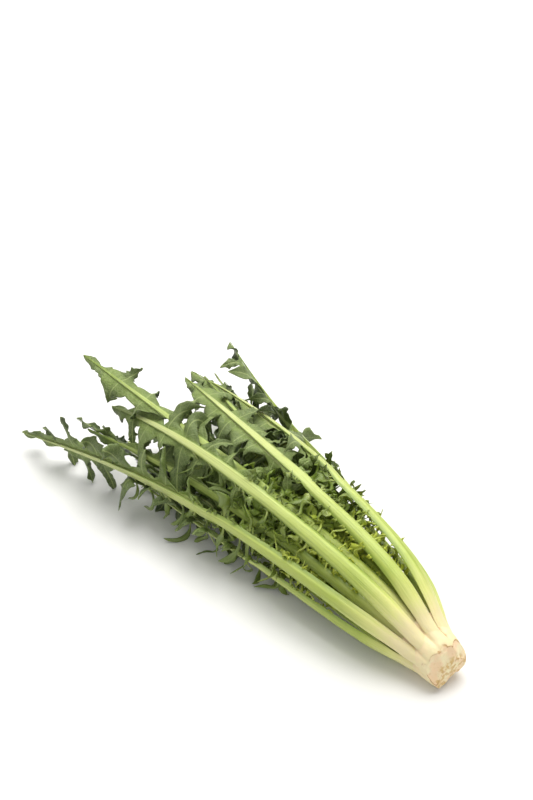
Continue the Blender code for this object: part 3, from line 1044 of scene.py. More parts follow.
@dataclass(frozen=True)
class CrownFinish:
    """Moist root flesh: cream skin, paler cut faces, and pink-tan lines where it was trimmed."""

    name: str = "crown_flesh"
    skin: Colour = (0.84, 0.73, 0.43)
    cut: Colour = (0.90, 0.79, 0.50)
    tan: Colour = (0.68, 0.47, 0.19)
    scar: Colour = (0.50, 0.27, 0.10)
    blush: Colour = (0.88, 0.62, 0.38)
    roughness: float = 0.42

    def dress(self) -> bpy.types.Material:
        """Makes the material from the crown's own values.

        Returns:
            The material.
        """
        shader = Shader(self.name)
        sliced, trimmed = shader.value("sliced"), shader.value("trimmed")
        groove = shader.value("groove")
        broad = shader.noise(shader.place(), 90.0, 4.0)
        fine = shader.noise(shader.place(), 520.0, 4.0)
        fibre = shader.noise(shader.scaled(shader.place(), (330.0, 60.0, 330.0)), 1.0, 4.0)
        skin = shader.mix(groove * 0.30 + broad.rise(0.5, 0.7) * 0.25, self.skin, self.blush)
        within = shader.maths("MAXIMUM", sliced.rise(0.0, 0.0009), trimmed.rise(0.3, 0.8))
        fleshy = shader.mix(broad.rise(0.42, 0.60) * 0.75, self.cut, self.blush)
        faced = shader.mix(within, skin, fleshy)
        ended = shader.mix(trimmed.rise(0.1, 0.9) * fibre.rise(0.42, 0.60), faced, self.tan)
        rim = sliced.rise(0.0, 0.00020) * sliced.fall(0.0003, 0.0009)
        line = rim * broad.rise(0.44, 0.58) * 0.9
        scarred = shader.mix(line, ended, self.scar)
        specks = fine.rise(0.60, 0.72) * within
        speckled = shader.mix(specks * 0.4, scarred, self.tan)
        dried = shader.value("dried") * fibre.rise(0.36, 0.56)
        return shader.finish(
            Base_Color=shader.mix(dried, speckled, self.scar),
            Roughness=self.roughness + fine * 0.25,
            Normal=shader.bump(broad * 0.4 + fine * 0.25 + fibre * within * 0.8, 0.0009),
            Subsurface_Weight=0.15,
            Subsurface_Radius=(1.0, 0.7, 0.4),
            Subsurface_Scale=0.003,
        )


@dataclass(frozen=True)
class FloorFinish:
    """Matt white sheet of the studio."""

    name: str = "floor_white"
    colour: Colour = (0.86, 0.86, 0.855)

    def dress(self) -> bpy.types.Material:
        """Makes the material, with a trace of unevenness.

        Returns:
            The material.
        """
        shader = Shader(self.name)
        soft = shader.noise(shader.place(), 3.0, 2.0)
        shade = shader.mix(soft * 0.04, self.colour, (0.78, 0.78, 0.78))
        return shader.finish(Base_Color=shade, Roughness=0.75, Specular_IOR_Level=0.15)


class PieceMesh:
    """Points, faces and surface values that are gathered into one piece."""

    def __init__(self) -> None:
        """Starts with nothing."""
        self.points: list[Array] = []
        self.faces: list[list[tuple[int, ...]]] = []
        self.values: dict[str, list[Array]] = {}
        self.size = 0

    def add(
        self, points: Array, faces: list[tuple[int, ...]], values: dict[str, Array | float]
    ) -> None:
        """Adds a closed shell and turns its faces outwards.

        Args:
            points: Its points.
            faces: Its faces, all turned alike.
            values: For each name, one number, or one number a point.
        """
        corners = points[np.array([face[:3] for face in faces])]
        crossed = np.cross(corners[:, 1] - corners[:, 0], corners[:, 2] - corners[:, 0])
        middle = points.mean(0)
        quads = [len(face) == 4 for face in faces]
        weight = np.where(quads, 2.0, 1.0)
        volume = (crossed * (corners[:, 0] - middle)).sum(1) @ weight
        step = -1 if volume < 0 else 1
        start = self.size
        self.faces.append([tuple(start + k for k in face[::step]) for face in faces])
        self.points.append(points)
        for name, numbers in values.items():
            self.values.setdefault(name, []).append(np.broadcast_to(numbers, len(points)))
        self.size += len(points)

    def build(self, name: str, node: str, shift: Array, dress: bpy.types.Material) -> None:
        """Makes the object, which rides on the root body and stands for a CAD node.

        Args:
            name: The piece's name.
            node: The CAD node that it stands for, which is hidden.
            shift: From the growth's coordinates to the frame's.
            dress: The material.
        """
        mesh = bpy.data.meshes.new(name)
        points = np.concatenate(self.points) + shift
        faces = [face for some in self.faces for face in some]
        mesh.from_pydata(points.tolist(), [], faces)
        for label, parts in self.values.items():
            layer = mesh.attributes.new(label, "FLOAT", "POINT")
            layer.data.foreach_set("value", np.concatenate(parts).astype(np.float32))
        mesh.shade_smooth()
        mesh.materials.append(dress)
        piece = bpy.data.objects.new(name, mesh)
        bpy.context.scene.collection.objects.link(piece)
        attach(piece, "root")
        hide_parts(node)
        LOG.info("%s: %d points, %d faces", name, len(points), len(faces))


def grid_faces(rows: int, columns: int) -> list[tuple[int, ...]]:
    """Gives the quads of an open grid of points.

    Args:
        rows: How many rows of points.
        columns: How many points in a row.

    Returns:
        The quads.
    """
    row, column = np.meshgrid(np.arange(rows - 1), np.arange(columns - 1), indexing="ij")
    first = (row * columns + column).ravel()
    quads = np.stack([first, first + 1, first + columns + 1, first + columns], 1)
    return [tuple(quad) for quad in quads.tolist()]


def tube_faces(rows: int, columns: int) -> list[tuple[int, ...]]:
    """Gives the faces of a tube whose ends are closed.

    Args:
        rows: How many rings of points.
        columns: How many points in a ring.

    Returns:
        The quads, then the two ends.
    """
    faces = []
    for row in range(rows - 1):
        near, far = row * columns, (row + 1) * columns
        for spot in range(columns):
            after = (spot + 1) % columns
            faces.append((near + spot, near + after, far + after, far + spot))
    faces.append(tuple(range(columns))[::-1])
    faces.append(tuple(range((rows - 1) * columns, rows * columns)))
    return faces


def thicken(
    points: Array, faces: list[tuple[int, ...]], thickness: Array
) -> tuple[Array, list[tuple[int, ...]], Array]:
    """Turns an open sheet into a thin closed shell.

    Args:
        points: The sheet's points.
        faces: Its quads, all turned alike.
        thickness: The shell's thickness at each point.

    Returns:
        The shell's points and faces, and for each point 1 on the upper face and 0 on the lower.
    """
    quads = np.array(faces)
    diagonals = points[quads[:, 2]] - points[quads[:, 0]], points[quads[:, 3]] - points[quads[:, 1]]
    crossed = np.cross(*diagonals)
    normals = np.zeros_like(points)
    for corner in range(4):
        np.add.at(normals, quads[:, corner], crossed)
    offset = unit(normals) * (thickness / 2)[:, None]
    count = len(points)
    edges = np.concatenate([quads[:, [k, (k + 1) % 4]] for k in range(4)])
    keys = np.sort(edges, 1) @ np.array([count, 1])
    _, first, uses = np.unique(keys, return_index=True, return_counts=True)
    rim = edges[first[uses == 1]]
    lower = quads[:, ::-1] + count
    sides = np.stack([rim[:, 1], rim[:, 0], rim[:, 0] + count, rim[:, 1] + count], 1)
    every = np.concatenate([quads, lower, sides])
    flags = np.concatenate([np.ones(count), np.zeros(count)])
    shell = np.concatenate([points + offset, points - offset])
    return shell, [tuple(face) for face in every.tolist()], flags


@dataclass(frozen=True)
class Spine:
    """The curve that a lobe or thread follows, with the way its surface faces along it."""

    base: Array
    middle: Array
    end: Array
    tangent: Array
    side: Array
    inner: Array
    tooth: Tooth
    hand: int
    hook: float = 0.0
    sway: float = 0.0
    stretch: float = 1.0

    def above(self, share: Array) -> Array:
        """Gives the direction off the upper face before any twist, at places along the curve."""
        bend = self.tooth.fold + self.tooth.curl * smooth(0.1, 0.9, np.asarray(share, float))
        return np.cos(bend)[:, None] * self.inner - np.sin(bend)[:, None] * self.hand * self.side

    def at(self, share: Array) -> Array:
        """Gives the curve's points, from 0 at its base through its middle to 1 at its end.

        Args:
            share: Places along the curve.

        Returns:
            The points, hooked towards a face and swayed towards the leaf's tip.
        """
        place = np.asarray(share, float)
        share = place[:, None] * (1 + (self.stretch - 1) * np.maximum(place, 0)[:, None])
        control = 2 * self.middle - (self.base + self.end) / 2
        rest = 1 - share
        points = rest**2 * self.base + 2 * share * rest * control + share**2 * self.end
        bent = (np.maximum(place - 0.2, 0) / 0.8)[:, None] ** 2
        hooked = self.above(place) * self.hook * bent
        hooked = hooked - (self.end - self.base) / self.tooth.reach * self.hook**2 * 0.8 * bent**1.5
        swayed = self.tangent * self.sway * np.sin(np.pi * place)[:, None]
        return points + (hooked + swayed) * self.tooth.reach

    def frame(self, share: Array, twist: float) -> tuple[Array, Array]:
        """Gives the directions across the strap and off its face.

        Args:
            share: Places along the curve.
            twist: How far the strap has turned at its end, in radians.

        Returns:
            The directions towards the leaf's tip and off the upper face, at each place.
        """
        share = np.asarray(share, float)
        above = self.above(share)
        step = 1e-3
        ahead = unit(self.at(share + step) - self.at(share - step))
        above = unit(above - ahead * (above * ahead).sum(1)[:, None])
        across = np.cross(ahead, above)
        across = across * np.sign((across @ self.tangent).sum())
        turn = (twist * smooth(0.15, 1.0, share))[:, None]
        cosine, sine = np.cos(turn), np.sin(turn)
        return across * cosine + above * sine, above * cosine - across * sine


@dataclass(frozen=True)
class CrownForm:
    """The crown's outline along its axis, which the outer stalks' roots follow."""

    radius: float = 0.0232
    length: float = 0.026
    profile: tuple[tuple[float, float], ...] = (
        (-1.00, 0.64), (-0.94, 0.71), (-0.86, 0.755), (-0.64, 0.82), (-0.36, 0.882), (-0.12, 0.93),
        (0.0, 0.948), (0.115, 1.004), (0.192, 1.034), (0.27, 1.052),
    )  # fmt: skip
    heights: tuple[tuple[float, float], ...] = (
        (-1.0, 0.64), (-0.91, 0.73), (-0.64, 0.825), (-0.36, 0.90), (-0.10, 0.955), (0.0, 0.975),
        (0.115, 1.032), (0.192, 1.068), (0.27, 1.102),
    )  # fmt: skip
    knife_cuts: tuple[tuple[tuple[float, float, float], float], ...] = (
        ((-0.60, -0.74, 0.30), 0.0250),
        ((0.50, -0.68, 0.54), 0.0256),
        ((0.20, -0.78, -0.60), 0.0248),
        ((-0.86, -0.42, 0.28), 0.0235),
        ((-0.20, -0.42, 0.88), 0.0243),
        ((-0.10, -0.92, 0.38), 0.0256),
    )

    def pared(self, points: Array, spare: Array | float) -> tuple[Array, Array]:
        """Cuts points back to the knife's planes.

        Args:
            points: Points measured from the outline's centre line.
            spare: How far outside each plane a point may stay.

        Returns:
            The points, and how much was cut off at each one.
        """
        sliced = np.zeros(len(points))
        for direction, distance in self.knife_cuts:
            normal = unit(np.array(direction))
            over = np.maximum(points @ normal - distance - spare, 0)
            sliced = np.maximum(sliced, over)
            points = points - over[:, None] * normal
        return points, sliced

    def reach(self, along: Array | float) -> Array | float:
        """Gives the outline's radius at places along the axis, as shares of the length."""
        return self.radius * np.interp(along, *np.array(self.profile).T)

    def centre(self, along: Array | float) -> Array | float:
        """Gives the height of the outline's centre at places along the axis."""
        tall = self.radius * LOWEST_STALKS
        return tall * np.interp(along, *np.array(self.heights).T)


@dataclass
class FineStalk:
    """A leaf's stalk: ribbed back, channelled front, frilled edges and curled threads."""

    grown: GrownLeaf
    crown: CrownForm = CrownForm()
    row_step: float = 0.0020
    back_columns: int = 17
    front_columns: int = 9
    root_sink: float = 0.004
    outer_sink: float = 0.0170
    root_slimming: float = 0.22
    root_rows: int = 12
    root_deep: float = 0.0019
    root_cover: float = 0.0016
    easing: int = 26
    ribs: tuple[float, float] = (5.5, 9.5)
    rib_height: float = 0.00020
    frill: float = 0.0011
    frill_step: float = 0.0045
    frill_half: tuple[float, float] = (0.0012, 0.0026)
    strap_thickness: tuple[float, float] = (0.0006, 0.0003)
    strap_twist: float = 2.4
    thread_rows: int = 10
    thread_half: float = 0.0006
    thread_spread: float = 0.022
    small_threads: int = 24
    small_reach: float = 0.0060
    small_half: float = 0.0005
    leaflet_rows: int = 10
    leafy_from: float = 0.33
    leaflet_curls: tuple[float, float] = (-150, 160)
    droops: int = 7
    droops_between: tuple[float, float] = (0.38, 0.70)
    droop_rows: int = 16
    droop_reaches: tuple[float, float] = (0.016, 0.036)
    droop_stems: tuple[float, float] = (0.0005, 0.0009)
    droop_ends: tuple[float, float] = (0.0014, 0.0026)
    leaflets: dict[RingName, tuple[int, float, float]] = field(
        default_factory=lambda: {
            RingName.OUTER: (40, 0.20, 0.0110),
            RingName.MIDDLE: (74, 0.14, 0.0170),
            RingName.INNER: (84, 0.12, 0.0175),
            RingName.HEART: (64, 0.12, 0.0140),
        }
    )

    def __post_init__(self) -> None:
        """Seeds the stalk's own random numbers and starts its mesh."""
        self.leaf = self.grown.leaf
        self.outer = self.leaf.ring.name is RingName.OUTER
        self.draw = random.Random(f"stalk {self.leaf.name}")
        self.tone = self.draw.random()
        self.mesh = PieceMesh()

    def drawn(self, span: tuple[float, float]) -> float:
        """Draws a number from a span."""
        return self.draw.uniform(*span)

    def frames(self, places: Array) -> tuple[Array, Array, Array, Array]:
        """Gives the midline's points and directions at many places at once.

        Args:
            places: Shares of the leaf's length. Below 0 the midline runs straight on.

        Returns:
            The points and the tangent, side and inner directions.
        """
        leaf = self.leaf
        run = np.clip(places, 0, 1) * leaf.length
        rows = (leaf.points, leaf.tangent, leaf.side, leaf.inner)
        found = [np.stack([np.interp(run, leaf.run, r[:, k]) for k in range(3)], 1) for r in rows]
        below = np.minimum(places, 0) * leaf.length
        tangent = unit(found[1])
        points = found[0] + tangent * below[:, None]
        if self.outer:
            points = np.where(below[:, None] < 0, self.rooted(below), points)
        return points, tangent, unit(found[2]), unit(found[3])

    def rooted(self, below: Array) -> Array:
        """Gives the midline's points where an outer stalk runs down the crown and into it.

        Args:
            below: How far each point is from the leaf's base, as a length under 0.

        Returns:
            The points, which follow the crown's outline and sink slowly under its skin.
        """
        crown, base = self.crown, self.leaf.points[0]
        first, along = base[1] / crown.length, (base[1] + below) / crown.length
        out = base[[0, 2]] - np.array([0.0, crown.centre(first)])
        reach = np.linalg.norm(out)
        sunk = self.root_deep * (below / self.outer_sink) ** 2
        radius = reach + crown.reach(along) - crown.reach(first) - sunk
        across = out[0] / reach * radius
        upward = out[1] / reach * radius + crown.centre(along)
        return np.stack([across, base[1] + below, upward], 1)

    def eased(self, points: Array) -> Array:
        """Rounds the bend where the stalk leaves the crown.

        Args:
            points: The midline's points, row by row from the root's end.

        Returns:
            The same points, with the first rows eased into one curve.
        """
        points = np.copy(points)
        bent = points[: 2 * self.root_rows + 4]
        for _ in range(self.easing):
            bent[1:-1] = bent[1:-1] / 2 + (bent[:-2] + bent[2:]) / 4
        return points

    def covered(self, points: Array) -> Array:
        """Keeps the root's points under the faces that the knife cut.

        Args:
            points: The root's rows of points.

        Returns:
            The same rows, pressed in where they would show.
        """
        rise = np.zeros_like(points)
        rise[:, :, 2] = self.crown.centre(points[:, :, 1] / self.crown.length)
        pared, _ = self.crown.pared((points - rise).reshape(-1, 3), -self.root_cover)
        return pared.reshape(points.shape) + rise

    def edge_frill(self, places: Array) -> Array:
        """Draws small teeth along an edge, between the root and the blade.

        Args:
            places: Shares of the leaf's length.

        Returns:
            How far the teeth stand out at each place.
        """
        out = np.zeros_like(places)
        low, high = THREADS_FROM - 0.06, BLADE_FROM + 0.02
        for _ in range(int((high - low) * self.leaf.length / self.frill_step)):
            middle = self.draw.uniform(low, high)
            tall = self.frill * self.draw.uniform(0.3, 1.0) * (middle / high)
            half = self.drawn(self.frill_half) / self.leaf.length
            out = np.maximum(out, tall * np.clip(1 - np.abs(places - middle) / half, 0, 1))
        return out

    def outline(self, held: Array, lower: Array, upper: Array) -> Array:
        """Gives the height of every point round the tube's rows: a ribbed back and a channel.

        Args:
            held: The rows' shares of the leaf's length.
            lower: The back columns' places across, from -1 to 1.
            upper: The front columns' places across, from 1 to -1.

        Returns:
            The heights, row by row, the back's columns first.
        """
        leaf = self.leaf
        bladed, depth = leaf.bladed(held), leaf.depth(held)
        edge, trough = between(EDGE_HEIGHT, bladed), between(TROUGH_HEIGHT, bladed)
        e, k, t = edge[:, None], between(BACK_DEPTH, bladed)[:, None], trough[:, None]
        back = e - (e + k) * (1 - np.abs(lower) ** 2.6)[None, :] ** 0.85
        channel = t + (e - t) * np.abs(upper)[None, :] ** 2.3
        phase, (broad, fine) = self.draw.uniform(0, math.tau), self.ribs
        broadly = np.cos(math.pi * broad * lower + phase)
        ribs = broadly + 0.5 * np.cos(math.pi * fine * lower - phase)
        ribs = ribs * (1 - lower**4) * self.rib_height
        tall = (depth / leaf.ring.stalk_depth)[:, None]
        height = np.concatenate([back, channel], 1) * depth[:, None]
        height[:, : len(lower)] -= ribs[None, :] * tall * smooth(0.02, 0.12, held)[:, None]
        return height

    def grow_tube(self) -> None:
        """Adds the stalk's own tube, from inside the crown to the blade's tip."""
        leaf = self.leaf
        sink = self.outer_sink if self.outer else self.root_sink
        root = np.linspace(-sink / leaf.length, 0, self.root_rows, endpoint=False)
        places = np.concatenate([root, np.linspace(0, 1, int(leaf.length / self.row_step))])
        point, _, side, inner = self.frames(places)
        if self.outer:
            point = self.eased(point)
        held = np.clip(places, 0, 1)
        slimmed = 1 + self.root_slimming * np.minimum(places, 0) * leaf.length / sink
        width = leaf.half_width(held) * slimmed
        lower = np.sin(np.linspace(-0.5, 0.5, self.back_columns) * math.pi)
        upper = np.linspace(1, -1, self.front_columns + 2)[1:-1]
        height = self.outline(held, lower, upper)
        share = np.concatenate([lower, upper])
        across = share[None, :] * width[:, None]
        for column, hand in ((0, -1), (len(lower) - 1, 1)):
            across[:, column] += hand * self.edge_frill(held)
        points = point[:, None] + across[:, :, None] * side[:, None]
        points = points + height[:, :, None] * inner[:, None]
        if self.outer:
            points[: len(root)] = self.covered(points[: len(root)])
        points[:, :, 2] = np.maximum(points[:, :, 2], FLOOR_GAP)
        rows, columns = points.shape[:2]
        values = {
            "along": np.repeat(held, columns),
            "across": np.tile(share, rows),
            "run": np.repeat(held * leaf.length, columns),
            "tone": self.tone,
            "thread": 0.0,
        }
        self.mesh.add(points.reshape(-1, 3), tube_faces(rows, columns), values)

    def strap(self, spine: Spine, half: Array, place: float, leafy: float) -> None:
        """Adds a thread or leaflet: a thin curled strap that tapers to a point.

        Args:
            spine: The curve that it follows.
            half: Half its width at each of its rows.
            place: Where it stands on the leaf.
            leafy: How green it is, from 0 to 1. At 1 it is a leaflet, broader and ruffled.
        """
        rows = len(half)
        share = np.linspace(0, 1, rows)
        across, above = spine.frame(share, self.draw.uniform(-self.strap_twist, self.strap_twist))
        limp, size, ruffled = (0.24, 4, 0.45) if leafy >= 1 else (0.12, 3, 0.0)
        wave = self.draw.uniform(-1, 1) * spine.tooth.reach * limp
        sway = np.sin(share * math.pi * self.draw.uniform(1.2, 2.4))[:, None] * wave
        centre = spine.at(share) + (across + 0.6 * above) * sway
        spots = np.linspace(-1, 1, size)
        cup = self.draw.uniform(-0.4, 1.1) * half[:, None] * spots**2
        turned = np.sin(share * 9 + self.draw.uniform(0, 6))[:, None]
        ruffle = ruffled * half[:, None] * spots * turned
        points = centre[:, None, :] + across[:, None, :] * (half[:, None] * spots)[:, :, None]
        points += above[:, None, :] * (cup + ruffle)[:, :, None]
        points = points.reshape(-1, 3)
        points[:, 2] = np.maximum(points[:, 2], SHEET_HEIGHT)
        thickness = np.repeat(between(self.strap_thickness, share), size)
        shell, faces, _ = thicken(points, grid_faces(rows, size), thickness)
        values = {
            "along": place,
            "across": np.tile(spots, 2 * rows) * 0.5,
            "run": place * self.leaf.length,
            "tone": self.tone,
            "thread": np.tile(np.repeat(leafy * smooth(-0.1, 0.4, share), size), 2),
        }
        self.mesh.add(shell, faces, values)

    def thread_widths(self, half: float) -> Array:
        """Gives a thread's half widths, from a broad foot to a fine end."""
        share = np.linspace(0, 1, self.thread_rows)
        return half * (1 + 1.2 * np.exp(-share / 0.08)) * (1 - share**1.8 * 0.82)

    def leaflet_widths(self, reach: float) -> Array:
        """Draws a leaflet's half widths, which swell at its middle or near its end.

        Args:
            reach: The leaflet's reach.

        Returns:
            The half widths.
        """
        share = np.linspace(0, 1, self.leaflet_rows)
        swell = np.sin(math.pi * share ** self.draw.uniform(0.7, 1.5)) ** 0.9
        ragged = np.array([1 + 0.55 * self.draw.uniform(-1, 1) for _ in share])
        broad = reach * self.draw.uniform(0.10, 0.25)
        return np.maximum(broad * (0.22 + swell * ragged) * (1 - share**7), LEAST_HALF_WIDTH)

    def droop_widths(self) -> Array:
        """Draws a limp strap's half widths, from a thin stem to a broad blunt end.

        Returns:
            The half widths.
        """
        share = np.linspace(0, 1, self.droop_rows)
        widths = self.drawn(self.droop_stems), self.drawn(self.droop_ends)
        wavy = 1 + 0.25 * np.sin(share * 11 + self.draw.uniform(0, 6))
        swell = smooth(0.15, self.draw.uniform(0.55, 0.85), share)
        return between(widths, swell) * wavy * np.sqrt(1.02 - share**8)

    def grow_teeth(self) -> None:
        """Adds the solid stalk's threads, of which the higher ones are leaflets."""
        for station in self.grown.stalk.stations:
            for k, tooth in enumerate(station.teeth):
                if tooth.reach <= 2 * LEAST_REACH:
                    continue
                spine = self.edge_spine(station.place, 2 * k - 1, tooth)
                if station.place > self.leafy_from:
                    hook, sway = self.draw.uniform(-0.3, 0.4), self.draw.uniform(-0.12, 0.12)
                    spine = replace(spine, hook=hook, sway=sway, stretch=1.25)
                    widths, leafy = self.leaflet_widths(tooth.reach * 0.75), 1.0
                else:
                    widths = self.thread_widths(self.thread_half + tooth.reach * self.thread_spread)
                    leafy = self.draw.uniform(0.3, 0.95)
                self.strap(spine, widths, station.place, leafy)

    def grow_small_threads(self) -> None:
        """Adds short threads along both edges, between the root and the blade."""
        for k in range(self.small_threads):
            place = self.draw.uniform(THREADS_FROM - 0.03, BLADE_FROM - 0.01)
            reach = self.small_reach * self.draw.uniform(0.35, 1.0) * place / BLADE_FROM
            fold = math.radians(self.draw.uniform(-10, 60))
            curl = math.radians(self.draw.uniform(-50, 90))
            tooth = Tooth(reach, reach * self.draw.uniform(-0.2, 0.9), fold, curl)
            spine = self.edge_spine(place, 1 if k % 2 else -1, tooth)
            self.strap(spine, self.thread_widths(self.small_half), place, 0.9)

    def grow_leaflets(self) -> None:
        """Adds the small leafy frills along both edges, below the blade."""
        count, start, most = self.leaflets[self.leaf.ring.name]
        folds = (-40, 55) if self.outer else (-70, 30)
        for k in range(count):
            place = start + (BLADE_FROM + 0.03 - start) * self.draw.random() ** 0.85
            reach = most * self.draw.uniform(0.3, 1.0) * (0.35 + 0.65 * place / BLADE_FROM)
            fold = math.radians(self.drawn(folds))
            lean = reach * self.draw.uniform(-0.1, 1.0)
            tooth = Tooth(reach, lean, fold, math.radians(self.drawn(self.leaflet_curls)))
            spine = self.edge_spine(place, 1 if k % 2 else -1, tooth)
            spine = replace(spine, hook=self.draw.uniform(-0.6, 0.6))
            self.strap(spine, self.leaflet_widths(reach), place, 1.0)

    def grow_droops(self) -> None:
        """Adds limp straps that hang from the lower edge, just below the blade."""
        for k in range(self.droops):
            place = between(self.droops_between, (k + self.draw.random()) / self.droops)
            point, _, side, inner = self.leaf.at(place)
            hand = -1 if side[2] > 0 else 1
            down = math.atan2(-float(inner[2]), -hand * float(side[2]))
            reach = min(self.drawn(self.droop_reaches), float(point[2]) * 1.9)
            lean = reach * self.draw.uniform(-0.2, 0.9)
            outward = -math.radians(self.draw.uniform(-10, 75))
            spine = self.edge_spine(place, hand, Tooth(reach, lean, down, outward))
            hook, sway = self.draw.uniform(-0.3, 0.3), -self.draw.uniform(0.05, 0.35)
            spine = replace(spine, hook=hook, sway=sway)
            self.strap(spine, self.droop_widths(), place, 1.0)

    def edge_spine(self, place: float, hand: int, tooth: Tooth) -> Spine:
        """Gives the curve of a thread that starts at the stalk's edge.

        Args:
            place: Where it stands on the leaf.
            hand: -1 for the left, 1 for the right.
            tooth: Its reach, lean, fold and curl.

        Returns:
            The curve.
        """
        frame, edge = self.leaf.at(place), self.leaf.edge(place)
        points = tooth_points(frame, hand, tooth, edge, 0.0)
        base = frame[0] + edge[0] * hand * frame[2] + edge[1] * frame[3]
        return Spine(base, points[0][0], points[1][0], *frame[1:], tooth, hand)

    def shape(self) -> PieceMesh:
        """Makes the whole stalk.

        Returns:
            Its mesh.
        """
        self.grow_tube()
        self.grow_teeth()
        self.grow_small_threads()
        self.grow_leaflets()
        if self.outer:
            self.grow_droops()
        return self.mesh


@dataclass(frozen=True)
class LobeForm:
    """The drawn form of one lobe: how broad, how toothed and how twisted it is."""

    half_width: float
    neck: float
    swell: float
    twist: float
    cup: float
    ruffle: float
    waves: float
    phase: float
    teeth: list[tuple[int, float, float, float]]


@dataclass(frozen=True)
class WebColumn:
    """A column of the web, from the midrib outwards, with the values that its points carry."""

    place: float
    offset: Array
    aside: float
    run: Array
    reach: Array


@dataclass(frozen=True)
class LongLobe:
    """A lobe that stands out of the web: its curve, the web's share of it, and its columns."""

    spine: Spine
    share: float
    columns: list[int]


